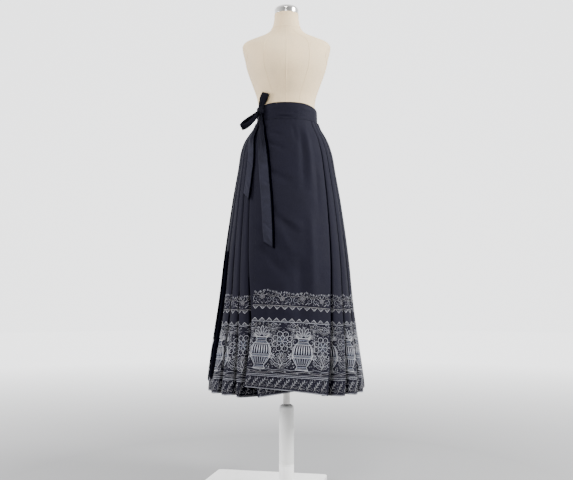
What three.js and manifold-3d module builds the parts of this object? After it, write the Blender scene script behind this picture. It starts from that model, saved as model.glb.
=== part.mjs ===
// A pleated wrap skirt, tied at the waist, worn on a limbless dress form that stands on a base plate.
// Millimetres, +Z up. The front faces -Y, and the origin is on the floor under the axis of the pole.
import * as THREE from 'three';
import Module from 'manifold-3d';

const wasm = await Module();
wasm.setup();

// Driving sizes of the skirt
const seamHeight = 1240; // top of the cloth, under the waistband
const seamDip = 4; // how much lower the seam is at the sides
const bandTop = 1296; // top of the waistband at the front
const bandTopDip = 18;
const hemHeight = 342;
const wall = 1.0; // thickness of the cloth
const seamGap = 0.3;

// Outline of the worn skirt, with its half width, its depth in front of the axis and behind it,
// and the spacing between two layers of a pleat
const skirtSections = [
  { z: 342, side: 262, front: 234, back: 236, layer: 7.0 },
  { z: 388, side: 258, front: 228, back: 230, layer: 6.7 },
  { z: 479, side: 246, front: 217, back: 219, layer: 6.2 },
  { z: 570, side: 233.5, front: 205, back: 208, layer: 5.7 },
  { z: 659, side: 222.5, front: 192, back: 196, layer: 5.2 },
  { z: 750, side: 214, front: 178, back: 183, layer: 4.7 },
  { z: 841, side: 203, front: 163, back: 168, layer: 4.2 },
  { z: 966, side: 185, front: 139, back: 149, layer: 3.5 },
  { z: 1002, side: 179, front: 131, back: 144, layer: 3.2 },
  { z: 1084, side: 164, front: 115, back: 132, layer: 2.6 },
  { z: 1120, side: 156, front: 109, back: 127, layer: 2.3 },
  { z: 1147, side: 147.5, front: 104, back: 120, layer: 2.1 },
  { z: 1175, side: 137, front: 99, back: 112, layer: 1.9 },
  { z: 1198, side: 125, front: 95, back: 103, layer: 1.7 },
  { z: 1218, side: 113, front: 91.5, back: 94, layer: 1.55 },
  { z: 1244, side: 103.5, front: 88.5, back: 87.5, layer: 1.45 },
];

// Rows of points down the cloth, as shares of its length from the seam
const rowShares = [0, 0.024, 0.05, 0.08, 0.125, 0.19, 0.3, 0.445, 0.63, 0.82, 1];
const middleShare = 0.445;

// Folded edges of one skirt piece, in degrees from the middle of its outer panel,
// at the seam, halfway down and at the hem; lower is how far the edge hangs below the hem
const panelFold = { seam: 49.5, middle: 43.5, hem: 30, lower: 0 };
const foldsFacingOn = [
  { seam: 59, middle: 57, hem: 46, lower: 5 },
  { seam: 68, middle: 70, hem: 60.5, lower: 6 },
  { seam: 77, middle: 84, hem: 75, lower: 5 },
  { seam: 86, middle: 96, hem: 87, lower: 6 },
];
const foldsFacingBack = [
  { seam: 96, middle: 105.5, hem: 93.5, lower: 5 },
  { seam: 105, middle: 115, hem: 110, lower: 6 },
  { seam: 114, middle: 124.5, hem: 127, lower: 5 },
  { seam: 123, middle: 134, hem: 142, lower: 6 },
];
const innerFold = { seam: 132, middle: 143, hem: 160, lower: 2 };
const foldDepth = { seam: 5.4, middle: 6.2, hem: 4.2 };

// Free edges of the two flat panels, and how far the free corner of a hem is lifted
const outerFreeEdge = { seam: -47, middle: -31, hem: -30 };
const innerFreeEdge = { seam: 228, middle: 217.5, hem: 220 };
const cornerLift = 29;
const panelSteps = 10;
const outerStandoff = { seam: 2.4, middle: 4.5, hem: 6 };
const innerDrop = { seam: 5.0, middle: 13, hem: 20 };

// Waistband
const bandWall = 3.0;
const bandClear = 0.4; // between the band and the form
const bandStep = 7.5;
const bandStart = -52.5;
const bandEnd = 412.5;
const bandInnerFrom = 82.5; // where the band has come down to its inner round
const bandOuterTo = 60;

// Ties
const tieWall = 1.5;
const knot = { turn: -52, z: 1271, halfWidth: 15, halfHeight: 16, halfDepth: 8.5, gap: 0.35 };
const longTail = [
  { turn: -47.5, z: 1264, half: 5, lift: 10.5 },
  { turn: -47.4, z: 1250, half: 8, lift: 10 },
  { turn: -46.5, z: 1234, half: 11, lift: 8.5 },
  { turn: -40.5, z: 1209, half: 14, lift: 7 },
  { turn: -30.8, z: 1154, half: 15.5, lift: 6.5 },
  { turn: -25.3, z: 1084, half: 16, lift: 7 },
  { turn: -22.3, z: 1030, half: 16, lift: 7.5 },
  { turn: -19.5, z: 975, half: 16, lift: 8 },
  { turn: -16.7, z: 890, half: 16, lift: 9 },
  { turn: -15, z: 817, half: 16, lift: 9.5 },
];
const shortTail = [
  { turn: -55, z: 1264, half: 4, lift: 5 },
  { turn: -57.5, z: 1248, half: 8, lift: 4 },
  { turn: -58.5, z: 1230, half: 11, lift: 4 },
  { turn: -56.5, z: 1199, half: 14, lift: 4 },
  { turn: -46.7, z: 1126, half: 15, lift: 5 },
  { turn: -44.5, z: 1043, half: 15, lift: 5.5 },
  { turn: -44.3, z: 980, half: 15, lift: 6 },
];
const tailSlant = 12; // how much lower the inner corner of a tail's end is than its middle

// Dress form, from the bottom of the hips to the top of the neck
const formSections = [
  { z: 1000, side: 140, front: 92, back: 106 },
  { z: 1012, side: 146, front: 96, back: 112 },
  { z: 1050, side: 149, front: 98, back: 115 },
  { z: 1090, side: 146, front: 97, back: 114 },
  { z: 1125, side: 139, front: 94, back: 109 },
  { z: 1155, side: 129, front: 91, back: 102 },
  { z: 1185, side: 115, front: 88, back: 93 },
  { z: 1210, side: 103, front: 85, back: 84.5 },
  { z: 1228, side: 98.3, front: 82.8, back: 81.8 },
  { z: 1234, side: 98.1, front: 82.6, back: 81.6 },
  { z: 1298, side: 96.1, front: 80.6, back: 79.6 },
  { z: 1304, side: 96.0, front: 80.5, back: 79.5 },
  { z: 1330, side: 101, front: 86, back: 81 },
  { z: 1375, side: 117, front: 104, back: 86 },
  { z: 1420, side: 133, front: 117, back: 92 },
  { z: 1460, side: 143, front: 112, back: 97 },
  { z: 1490, side: 150, front: 95, back: 95 },
  { z: 1508, side: 150, front: 82, back: 86 },
  { z: 1521, side: 138, front: 70, back: 76 },
  { z: 1534, side: 106, front: 60, back: 66 },
  { z: 1546, side: 75, front: 54, back: 58 },
  { z: 1560, side: 56, front: 50, back: 52 },
  { z: 1578, side: 47, front: 46, back: 46 },
  { z: 1600, side: 42.5, front: 42.5, back: 42 },
  { z: 1619, side: 41, front: 41, back: 41 },
];
const formSides = 48;
const capRadius = 41.5;
const capHeight = 30;

// Stand
const poleRadius = 11.5;
const columnRadius = 25;
const columnTop = 287;
const columnRound = 13;
const grooveHeight = 86;
const plateThickness = 18;
const plateLeft = 290;
const plateRight = 110;
const plateHalfDepth = 180;
const plateCorner = 14;
const plateBevel = 3;
const plateTurn = -12;

// Finishes
const darkCloth = { color: 0x26262f, roughness: 0.62, metalness: 0 };
const linen = { color: 0xd9cfbe, roughness: 0.85, metalness: 0 };
const chrome = { color: 0xc9cbcd, roughness: 0.2, metalness: 1 };
const whitePaint = { color: 0xeeeeec, roughness: 0.45, metalness: 0 };

const radians = THREE.MathUtils.degToRad;
const degrees = THREE.MathUtils.radToDeg;
const model = new THREE.Group();

function addPiece(name, geometry, finish, place) {
  const mesh = new THREE.Mesh(geometry, new THREE.MeshStandardMaterial(finish));
  mesh.name = name;
  if (place) mesh.position.copy(place);
  model.add(mesh);
  return mesh;
}

// Value of one column at a height, on a smooth line through the rows
function columnAt(table, column, z) {
  const last = table.length - 1;
  if (z <= table[0].z) return table[0][column];
  if (z >= table[last].z) return table[last][column];
  let low = 0;
  while (table[low + 1].z < z) low += 1;
  const slopeAt = (row) => {
    const before = table[Math.max(row - 1, 0)];
    const after = table[Math.min(row + 1, last)];
    return (after[column] - before[column]) / (after.z - before.z);
  };
  const span = table[low + 1].z - table[low].z;
  const share = (z - table[low].z) / span;
  const rise = table[low + 1][column] - table[low][column];
  const startPull = slopeAt(low) * span - rise;
  const endPull = rise - slopeAt(low + 1) * span;
  const bend = share * (1 - share) * ((1 - share) * startPull + share * endPull);
  return table[low][column] + rise * share + bend;
}

// Value between its three given places down the cloth: at the seam, halfway and at the hem
function downTheCloth(row, share) {
  const atSeam = ((share - middleShare) * (share - 1)) / middleShare;
  const atMiddle = (share * (share - 1)) / (middleShare * (middleShare - 1));
  const atHem = (share * (share - middleShare)) / (1 - middleShare);
  return row.seam * atSeam + row.middle * atMiddle + row.hem * atHem;
}

function smooth(value) {
  const share = THREE.MathUtils.clamp(value, 0, 1);
  return share * share * (3 - 2 * share);
}

// Point on an oval section at a turn from the front, moved outward
function ovalPoint(sections, turn, z, outward) {
  const angle = radians(turn);
  const side = columnAt(sections, 'side', z);
  const depth = columnAt(sections, Math.cos(angle) > 0 ? 'front' : 'back', z);
  const out = new THREE.Vector3(Math.sin(angle) / side, -Math.cos(angle) / depth, 0).normalize();
  const point = new THREE.Vector3(side * Math.sin(angle), -depth * Math.cos(angle), z);
  return point.addScaledVector(out, outward);
}

function seamAt(turn) {
  return seamHeight - seamDip * Math.sin(radians(turn)) ** 2;
}

function bandTopAt(turn) {
  return bandTop - bandTopDip * Math.sin(radians(turn)) ** 2;
}

// Closed geometry from shared points and triangles, turned so that its faces point out
function closedGeometry(points, triangles) {
  let volume = 0;
  for (const [a, b, c] of triangles) {
    volume += points[a].dot(points[b].clone().cross(points[c]));
  }
  const order = volume > 0 ? triangles : triangles.map(([a, b, c]) => [a, c, b]);
  const geometry = new THREE.BufferGeometry().setFromPoints(points);
  geometry.setIndex(order.flat());
  geometry.computeVertexNormals();
  return geometry;
}

// Solid between two sheets of points, each with the same rows and columns.
// flips says for which columns the quads are split along the other diagonal.
function sheetSolid(faceRows, backRows, flips = []) {
  const rows = faceRows.length;
  const columns = faceRows[0].length;
  const points = [...faceRows.flat(), ...backRows.flat()];
  const triangles = [];
  const front = (row, column) => row * columns + column;
  const back = (row, column) => rows * columns + row * columns + column;
  const quad = (a, b, c, d) => triangles.push([a, b, c], [a, c, d]);
  for (let row = 0; row < rows - 1; row += 1) {
    for (let column = 0; column < columns - 1; column += 1) {
      const corners = [
        [row, column],
        [row, column + 1],
        [row + 1, column + 1],
        [row + 1, column],
      ];
      if (flips[column]) corners.push(corners.shift());
      quad(...corners.map((corner) => front(...corner)));
      const [first, second, third, fourth] = corners.map((corner) => back(...corner));
      quad(first, fourth, third, second);
    }
    const end = columns - 1;
    quad(back(row, 0), front(row, 0), front(row + 1, 0), back(row + 1, 0));
    quad(front(row, end), back(row, end), back(row + 1, end), front(row + 1, end));
  }
  for (let column = 0; column < columns - 1; column += 1) {
    const end = rows - 1;
    quad(back(0, column), back(0, column + 1), front(0, column + 1), front(0, column));
    quad(front(end, column), front(end, column + 1), back(end, column + 1), back(end, column));
  }
  return closedGeometry(points, triangles);
}

// The two faces of a wall whose middle follows a line of points, offset level
function wallFaces(line, thickness) {
  const face = [];
  const back = [];
  const sideOf = (from, to) => new THREE.Vector2(to.y - from.y, from.x - to.x).normalize();
  line.forEach((point, index) => {
    const before = sideOf(line[Math.max(index - 1, 0)], line[Math.max(index, 1)]);
    const nextIndex = Math.min(index, line.length - 2);
    const after = sideOf(line[nextIndex], line[nextIndex + 1]);
    const reach = thickness / 2 / (1 + before.dot(after));
    const shift = before.add(after).multiplyScalar(reach);
    face.push(new THREE.Vector3(point.x + shift.x, point.y + shift.y, point.z));
    back.push(new THREE.Vector3(point.x - shift.x, point.y - shift.y, point.z));
  });
  return { face, back };
}

// A cloth wall from a function that gives its line of stops at a share down the cloth.
// A stop has a turn, an outward distance and the height of its hem.
function clothWall(stopsAt, halfTurn) {
  const faceRows = [];
  const backRows = [];
  for (const share of rowShares) {
    const line = stopsAt(share).map((stop) => {
      const turn = stop.turn + halfTurn;
      const top = seamAt(turn);
      const z = top + (stop.hem - top) * share;
      return ovalPoint(skirtSections, turn, z, stop.outward);
    });
    const { face, back } = wallFaces(line, wall);
    faceRows.push(face);
    backRows.push(back);
  }
  const stops = stopsAt(0);
  const flips = stops.slice(1).map((stop, index) => stop.turn < stops[index].turn);
  return sheetSolid(faceRows, backRows, flips);
}

// The pleated width between the outer panel and the inner panel of one skirt piece
function pleatStops(share) {
  const depth = downTheCloth(foldDepth, share);
  const top = seamHeight - seamDip;
  const spacing = columnAt(skirtSections, 'layer', top + (hemHeight - top) * share);
  const stops = [];
  const stop = (turn, layer, lower = 0) => {
    stops.push({ turn, outward: (layer - 2) * spacing, hem: hemHeight - lower });
  };
  let edge = downTheCloth(panelFold, share);
  const tuckUnder = () => {
    stop(edge, 1);
    stop(edge - depth, 1);
    stop(edge - depth, 0);
    stop(edge, 0);
  };
  tuckUnder();
  for (const fold of foldsFacingOn) {
    const next = downTheCloth(fold, share);
    stop((edge + next - depth) / 2, 1, fold.lower / 2);
    edge = next;
    stop(edge - depth, 2, fold.lower);
    stop(edge, 2, fold.lower);
    tuckUnder();
  }
  const comeOut = () => {
    stop(edge, 0);
    stop(edge + depth, 0);
    stop(edge + depth, 1);
    stop(edge, 1);
  };
  for (const fold of foldsFacingBack) {
    const next = downTheCloth(fold, share);
    if (fold !== foldsFacingBack[0]) stop((edge + depth + next) / 2, 1, fold.lower / 2);
    edge = next;
    comeOut();
    stop(edge, 2, fold.lower);
    stop(edge + depth, 2, fold.lower);
  }
  const last = downTheCloth(innerFold, share);
  stop((edge + depth + last) / 2, 1);
  edge = last;
  comeOut();
  return stops;
}

// A flat panel from its folded edge to its free edge
function panelStops(share, fold, freeEdge, outwardAt) {
  const from = downTheCloth(fold, share);
  const to = downTheCloth(freeEdge, share);
  return Array.from({ length: panelSteps + 1 }, (_, step) => {
    const across = step / panelSteps;
    const lifted = cornerLift * (1 - (1 - across) ** 1.8);
    return {
      turn: from + (to - from) * across,
      outward: outwardAt(across, share),
      hem: hemHeight - fold.lower + lifted,
    };
  });
}

function outerPanelStops(share) {
  const standoff = downTheCloth(outerStandoff, share);
  return panelStops(share, panelFold, outerFreeEdge, (across) => standoff * smooth(across * 1.3));
}

function innerPanelStops(share) {
  const drop = downTheCloth(innerDrop, share);
  return panelStops(share, innerFold, innerFreeEdge, (across) => -drop * smooth((across - 0.1) / 0.6));
}

// The waistband is one strip that goes once round the waist and laps over itself at the front
function waistband() {
  const faceRows = [[], []];
  const backRows = [[], []];
  const innerRound = bandClear;
  const outerRound = bandClear + bandWall + seamGap;
  for (let turn = bandStart; turn <= bandEnd; turn += bandStep) {
    const lowered = smooth((turn - bandOuterTo) / (bandInnerFrom - bandOuterTo));
    const inside = outerRound + (innerRound - outerRound) * lowered;
    [seamAt(turn) + seamGap, bandTopAt(turn)].forEach((z, row) => {
      faceRows[row].push(ovalPoint(formSections, turn, z, inside + bandWall));
      backRows[row].push(ovalPoint(formSections, turn, z, inside));
    });
  }
  return sheetSolid(faceRows, backRows);
}

function toManifold(geometry) {
  const vertProperties = new Float32Array(geometry.getAttribute('position').array);
  const triVerts = new Uint32Array(geometry.getIndex().array);
  return new wasm.Manifold(new wasm.Mesh({ numProp: 3, vertProperties, triVerts }));
}

function fromManifold(solid) {
  const { vertProperties, triVerts } = solid.getMesh();
  const geometry = new THREE.BufferGeometry();
  geometry.setAttribute('position', new THREE.BufferAttribute(vertProperties, 3));
  geometry.setIndex(new THREE.BufferAttribute(triVerts, 1));
  geometry.computeVertexNormals();
  return geometry;
}

// Directions at the knot: outward, along the waist and up
function knotFrame() {
  const angle = radians(knot.turn);
  const side = columnAt(formSections, 'side', knot.z);
  const front = columnAt(formSections, 'front', knot.z);
  const out = new THREE.Vector3(Math.sin(angle) / side, -Math.cos(angle) / front, 0).normalize();
  const along = new THREE.Vector3(-out.y, out.x, 0);
  const outward = bandClear + 2 * bandWall + 2 * seamGap + knot.halfDepth;
  return { out, along, centre: ovalPoint(formSections, knot.turn, knot.z, outward) };
}

// A rounded block, from rings of points between two poles
function knotSolid(grown) {
  const { out, along, centre } = knotFrame();
  const up = new THREE.Vector3(0, 0, 1);
  const rings = 8;
  const sides = 16;
  const power = 0.75;
  const rounded = (value) => Math.sign(value) * Math.abs(value) ** power;
  const pointAt = (tilt, spin) => {
    const level = rounded(Math.cos(tilt));
    return centre
      .clone()
      .addScaledVector(up, (knot.halfHeight + grown) * rounded(Math.sin(tilt)))
      .addScaledVector(along, (knot.halfWidth + grown) * level * rounded(Math.cos(spin)))
      .addScaledVector(out, (knot.halfDepth + grown) * level * rounded(Math.sin(spin)));
  };
  const points = [pointAt(-Math.PI / 2, 0), pointAt(Math.PI / 2, 0)];
  const triangles = [];
  const at = (ring, side) => 2 + ring * sides + (side % sides);
  for (let ring = 0; ring < rings; ring += 1) {
    const tilt = -Math.PI / 2 + (Math.PI * (ring + 1)) / (rings + 1);
    for (let side = 0; side < sides; side += 1) {
      points.push(pointAt(tilt, (2 * Math.PI * side) / sides));
      if (ring === 0) triangles.push([0, at(0, side + 1), at(0, side)]);
      else triangles.push(
        [at(ring - 1, side), at(ring - 1, side + 1), at(ring, side + 1)],
        [at(ring - 1, side), at(ring, side + 1), at(ring, side)],
      );
    }
  }
  for (let side = 0; side < sides; side += 1) {
    triangles.push([1, at(rings - 1, side), at(rings - 1, side + 1)]);
  }
  return closedGeometry(points, triangles);
}

// A tail of the tie, lying over the cloth; it starts inside the knot, which is then cut away
function tailSolid(stations, room) {
  const faceRows = [];
  const backRows = [];
  stations.forEach(({ turn, z, half, lift }, index) => {
    const slant = index === stations.length - 1 ? tailSlant : 0;
    const middle = ovalPoint(skirtSections, turn, z, lift);
    const halfTurn = degrees(half / Math.hypot(middle.x, middle.y));
    const across = [-1, 0, 1].map((share) => {
      return ovalPoint(skirtSections, turn + halfTurn * share, z - slant * share, lift);
    });
    const { face, back } = wallFaces(across, tieWall);
    faceRows.push(face);
    backRows.push(back);
  });
  return fromManifold(toManifold(sheetSolid(faceRows, backRows)).subtract(room));
}

// A loop of the bow: out from the knot, round its tip and back beside itself
function loopSolid({ length, lean, forward, open, widthRoot, widthTip, widthDirection }, room) {
  const { out, centre } = knotFrame();
  const axis = new THREE.Vector3(Math.sin(radians(lean)), 0, Math.cos(radians(lean)));
  axis.addScaledVector(out, forward).normalize();
  const wide = widthDirection.clone().addScaledVector(axis, -widthDirection.dot(axis)).normalize();
  const opening = new THREE.Vector3().crossVectors(axis, wide);
  const steps = 18;
  const skipped = 0.07; // of the round, near the middle of the knot
  const faceRows = [];
  const backRows = [];
  for (let step = 0; step <= steps; step += 1) {
    const round = skipped + (1 - 2 * skipped) * (step / steps);
    const reach = Math.sin(Math.PI * round) ** 2;
    const swing = Math.sin(2 * Math.PI * round);
    const middle = centre.clone().addScaledVector(axis, length * reach).addScaledVector(opening, open * swing);
    const travel = axis
      .clone()
      .multiplyScalar(length * Math.PI * Math.sin(2 * Math.PI * round))
      .addScaledVector(opening, open * 2 * Math.PI * Math.cos(2 * Math.PI * round));
    const thick = new THREE.Vector3().crossVectors(travel, wide).normalize();
    const half = (widthRoot + (widthTip - widthRoot) * reach) / 2;
    const edges = [-half, half].map((offset) => middle.clone().addScaledVector(wide, offset));
    faceRows.push(edges.map((edge) => edge.clone().addScaledVector(thick, tieWall / 2)));
    backRows.push(edges.map((edge) => edge.clone().addScaledVector(thick, -tieWall / 2)));
  }
  return fromManifold(toManifold(sheetSolid(faceRows, backRows)).subtract(room));
}

// The form is one smooth solid, a loft of ovals
function formTorso() {
  const points = [new THREE.Vector3(0, 0, formSections[0].z)];
  const triangles = [];
  const at = (row, side) => 1 + row * formSides + (side % formSides);
  formSections.forEach(({ z }, row) => {
    for (let side = 0; side < formSides; side += 1) {
      points.push(ovalPoint(formSections, (360 * side) / formSides, z, 0));
      if (row === 0) triangles.push([0, at(0, side + 1), at(0, side)]);
      else triangles.push(
        [at(row - 1, side), at(row - 1, side + 1), at(row, side + 1)],
        [at(row - 1, side), at(row, side + 1), at(row, side)],
      );
    }
  });
  const lastRow = formSections.length - 1;
  points.push(new THREE.Vector3(0, 0, formSections[lastRow].z));
  for (let side = 0; side < formSides; side += 1) {
    triangles.push([points.length - 1, at(lastRow, side), at(lastRow, side + 1)]);
  }
  return closedGeometry(points, triangles);
}

// A turned piece: its profile has a radius and a height for each point, from axis to axis
function turned(profile, sides) {
  const points = profile.map(([radius, height]) => new THREE.Vector2(radius, height));
  return new THREE.LatheGeometry(points, sides).rotateX(Math.PI / 2);
}

function neckCap() {
  const rim = 6;
  const profile = [[0, 0], [capRadius, 0], [capRadius, rim]];
  const arcSteps = 6;
  for (let step = 1; step < arcSteps; step += 1) {
    const angle = (Math.PI / 2) * (step / arcSteps);
    profile.push([capRadius * Math.cos(angle) ** 0.7, rim + (capHeight - rim) * Math.sin(angle)]);
  }
  profile.push([0, capHeight]);
  return turned(profile, 32);
}

function column() {
  const grooveDepth = 1.5;
  const grooveHalf = 1.5;
  const height = columnTop - plateThickness - seamGap;
  const groove = grooveHeight - plateThickness;
  const profile = [
    [0, 0],
    [columnRadius, 0],
    [columnRadius, groove - grooveHalf],
    [columnRadius - grooveDepth, groove],
    [columnRadius, groove + grooveHalf],
  ];
  const arcSteps = 5;
  for (let step = 0; step <= arcSteps; step += 1) {
    const angle = (Math.PI / 2) * (step / arcSteps);
    profile.push([
      columnRadius - columnRound * (1 - Math.cos(angle)),
      height - columnRound * (1 - Math.sin(angle)),
    ]);
  }
  profile.push([0, height]);
  return turned(profile, 32);
}

function basePlate() {
  const outline = new THREE.Shape();
  const left = -plateLeft + plateBevel;
  const right = plateRight - plateBevel;
  const deep = plateHalfDepth - plateBevel;
  outline.moveTo(left + plateCorner, -deep);
  outline.lineTo(right - plateCorner, -deep);
  outline.absarc(right - plateCorner, -deep + plateCorner, plateCorner, -Math.PI / 2, 0);
  outline.absarc(right - plateCorner, deep - plateCorner, plateCorner, 0, Math.PI / 2);
  outline.absarc(left + plateCorner, deep - plateCorner, plateCorner, Math.PI / 2, Math.PI);
  outline.absarc(left + plateCorner, -deep + plateCorner, plateCorner, Math.PI, 1.5 * Math.PI);
  return new THREE.ExtrudeGeometry(outline, {
    depth: plateThickness - 2 * plateBevel,
    bevelThickness: plateBevel,
    bevelSize: plateBevel,
    bevelSegments: 2,
    curveSegments: 5,
  }).translate(0, 0, plateBevel);
}

// Skirt: two pieces on one waistband, each with an outer panel, pleats and an inner panel.
// The second is the first, turned halfway round, so that each outer panel covers an inner one.
const skirtPieces = [
  { halfTurn: 0, outer: 'front_outer_panel', pleats: 'right_pleats', inner: 'back_inner_panel' },
  { halfTurn: 180, outer: 'back_outer_panel', pleats: 'left_pleats', inner: 'front_inner_panel' },
];
for (const { halfTurn, outer, pleats, inner } of skirtPieces) {
  addPiece(outer, clothWall(outerPanelStops, halfTurn), darkCloth);
  addPiece(pleats, clothWall(pleatStops, halfTurn), darkCloth);
  addPiece(inner, clothWall(innerPanelStops, halfTurn), darkCloth);
}
addPiece('waistband', waistband(), darkCloth);

// Ties
const knotRoom = toManifold(knotSolid(knot.gap));
const upLoop = {
  length: 62,
  lean: 25,
  forward: 0.3,
  open: 3.4,
  widthRoot: 14,
  widthTip: 27,
  widthDirection: new THREE.Vector3(0.93, -0.3, -0.4),
};
const downLoop = {
  length: 84,
  lean: -138,
  forward: 0.34,
  open: 7,
  widthRoot: 14,
  widthTip: 26,
  widthDirection: new THREE.Vector3(0.25, 0.9, 0.2),
};
addPiece('bow_knot', knotSolid(0), darkCloth);
addPiece('bow_loop_up', loopSolid(upLoop, knotRoom), darkCloth);
addPiece('bow_loop_down', loopSolid(downLoop, knotRoom), darkCloth);
addPiece('tie_tail_long', tailSolid(longTail, knotRoom), darkCloth);
addPiece('tie_tail_short', tailSolid(shortTail, knotRoom), darkCloth);

// Dress form and stand
const formBottom = formSections[0].z;
const formTop = formSections[formSections.length - 1].z;
const poleLength = formBottom - columnTop - 2 * seamGap;
const poleMiddle = (formBottom + columnTop) / 2;
addPiece('form_torso', formTorso(), linen);
addPiece('neck_cap', neckCap(), chrome, new THREE.Vector3(0, 0, formTop + seamGap));
addPiece(
  'pole',
  new THREE.CylinderGeometry(poleRadius, poleRadius, poleLength, 24).rotateX(Math.PI / 2),
  chrome,
  new THREE.Vector3(0, 0, poleMiddle),
);
addPiece('column', column(), whitePaint, new THREE.Vector3(0, 0, plateThickness + seamGap));
addPiece('base_plate', basePlate(), whitePaint).rotation.z = radians(plateTurn);

export default model;
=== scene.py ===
import math
import random

import bpy
import numpy as np
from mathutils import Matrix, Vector


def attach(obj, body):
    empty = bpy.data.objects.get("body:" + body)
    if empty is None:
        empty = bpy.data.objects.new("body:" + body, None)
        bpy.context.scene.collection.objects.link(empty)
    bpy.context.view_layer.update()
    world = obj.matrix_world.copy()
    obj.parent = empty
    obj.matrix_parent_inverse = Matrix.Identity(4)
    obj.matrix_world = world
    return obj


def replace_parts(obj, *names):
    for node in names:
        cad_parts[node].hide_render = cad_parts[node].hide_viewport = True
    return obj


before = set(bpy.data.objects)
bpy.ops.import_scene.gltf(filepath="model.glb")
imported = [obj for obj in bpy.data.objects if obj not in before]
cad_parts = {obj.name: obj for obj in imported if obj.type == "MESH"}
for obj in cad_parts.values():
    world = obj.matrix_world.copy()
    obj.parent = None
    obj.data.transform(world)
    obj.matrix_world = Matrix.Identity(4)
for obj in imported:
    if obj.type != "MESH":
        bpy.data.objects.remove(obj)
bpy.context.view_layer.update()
mm = 0.001
print("frame loaded")


# Shader maths
class Wire:
    # One output of a node. Arithmetic on it adds Math nodes.
    def __init__(self, nodes, socket):
        self.nodes, self.socket = nodes, socket

    def __add__(self, other): return self.nodes.math("ADD", self, other)
    def __mul__(self, other): return self.nodes.math("MULTIPLY", self, other)
    __radd__, __rmul__ = __add__, __mul__


class Nodes:
    # Short ways to add nodes to a tree
    def __init__(self, tree):
        self.tree = tree

    def node(self, kind, settings, sockets, output=0):
        made = self.tree.nodes.new("ShaderNode" + kind)
        for name, value in settings.items():
            setattr(made, name, value)
        for name, value in sockets.items():
            if isinstance(value, Wire):
                self.tree.links.new(value.socket, made.inputs[name])
            else:
                made.inputs[name].default_value = value
        return Wire(self, made.outputs[output])

    def math(self, operation, *values):
        return self.node("Math", {"operation": operation}, dict(enumerate(values)))

    def mixed(self, share, first, second):
        solid = [value if isinstance(value, Wire) else (*value, 1) for value in (first, second)]
        return self.node("Mix", {"data_type": "RGBA"}, {0: share, 6: solid[0], 7: solid[1]}, output=2)

    def noise(self, place, scale, detail=3, roughness=0.55):
        return self.node("TexNoise", {}, {"Vector": place, "Scale": scale, "Detail": detail,
                                          "Roughness": roughness}, output="Fac")

    def stored(self, name, output="Vector"):
        return self.node("Attribute", {"attribute_name": name}, {}, output)

    def parts(self, vector):
        split = self.node("SeparateXYZ", {}, {0: vector})
        return [Wire(self, socket) for socket in split.socket.node.outputs]

    def between(self, value, low, high, start=0.0, end=1.0):
        return self.node("MapRange", {"clamp": True}, {"Value": value, "From Min": start, "From Max": end,
                                                       "To Min": low, "To Max": high})

    def bump(self, height, strength, distance):
        return self.node("Bump", {}, {"Height": height, "Strength": strength, "Distance": distance})


class Finish(Nodes):
    # A material with one Principled shader
    def __init__(self, name, fixed):
        self.material = bpy.data.materials.new(name)
        self.material.use_nodes = True
        super().__init__(self.material.node_tree)
        self.shader = self.tree.nodes["Principled BSDF"]
        for socket, value in fixed.items():
            self.shader.inputs[socket].default_value = value

    def feed(self, **sockets):
        labels = {"colour": "Base Color", "roughness": "Roughness", "normal": "Normal", "glow": "Emission Color"}
        for name, value in sockets.items():
            self.tree.links.new(value.socket, self.shader.inputs[labels[name]])
        return self


twoPi = 2 * math.pi


def darkClothFinish(name, deep, raised, gloss, blotch=0.012):
    # Near-black navy cloth with a fine twill, soft gloss and small press marks
    twill = 0.9
    finish = Finish(name, {"Specular IOR Level": gloss, "Specular Tint": (0.82, 0.82, 1, 1), "Sheen Weight": 0.02,
                           "Sheen Roughness": 0.35, "Sheen Tint": (0.62, 0.66, 0.9, 1)})
    weave = finish.stored("weave")
    across, along, fold = finish.parts(weave)
    diagonal = finish.math("SINE", (across + along) * (twoPi / twill))
    slub = finish.noise(weave, 0.35, 4)
    wash = finish.noise(weave, blotch, 3)
    colour = finish.mixed(finish.between(wash * 0.6 + slub * 0.4, 0, 1, 0.3, 0.7), deep, raised)
    colour = finish.mixed(0.14, colour, finish.mixed(diagonal * 0.5 + 0.5, (0, 0, 0), (0.02, 0.02, 0.03)))
    colour = finish.mixed(fold, colour, (0, 0, 0.001))  # the bottom of a deep fold gets no light
    crumple = finish.noise(weave, 0.03, 4, 0.5)
    threads = finish.bump(diagonal * 0.5 + slub * 0.6, 0.25, 0.0002)
    soft = finish.node("Bump", {}, {"Height": crumple, "Strength": 0.4, "Distance": 0.004, "Normal": threads})
    rough = finish.between(slub * 0.5 + wash * 0.5, 0.6, 0.76, 0.3, 0.7)
    return finish.feed(colour=colour, roughness=rough + 0.24 * fold, normal=soft)


def threadFinish():
    # Lustrous embroidery thread: colour kept with each stitch, with fine stitches across each line
    finish = Finish("silverThread", {"Specular IOR Level": 0.5, "Sheen Weight": 0.2, "Sheen Roughness": 0.4})
    weave = finish.stored("weave")
    along, _, _ = finish.parts(weave)
    stitch = finish.math("SINE", along * (twoPi / 0.7))
    worn = finish.noise(weave, 0.2, 3)
    shade = finish.mixed(finish.between(worn, 0.0, 0.55, 0.35, 0.7), finish.stored("thread", "Color"),
                         (0.16, 0.16, 0.18))
    shade = finish.mixed(finish.between(stitch, 0.22, 0.0, -1, 1), shade, (0.02, 0.02, 0.03))
    return finish.feed(colour=shade, roughness=finish.between(worn, 0.34, 0.52, 0.3, 0.7),
                       normal=finish.bump(stitch, 0.5, 0.00018))


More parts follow.
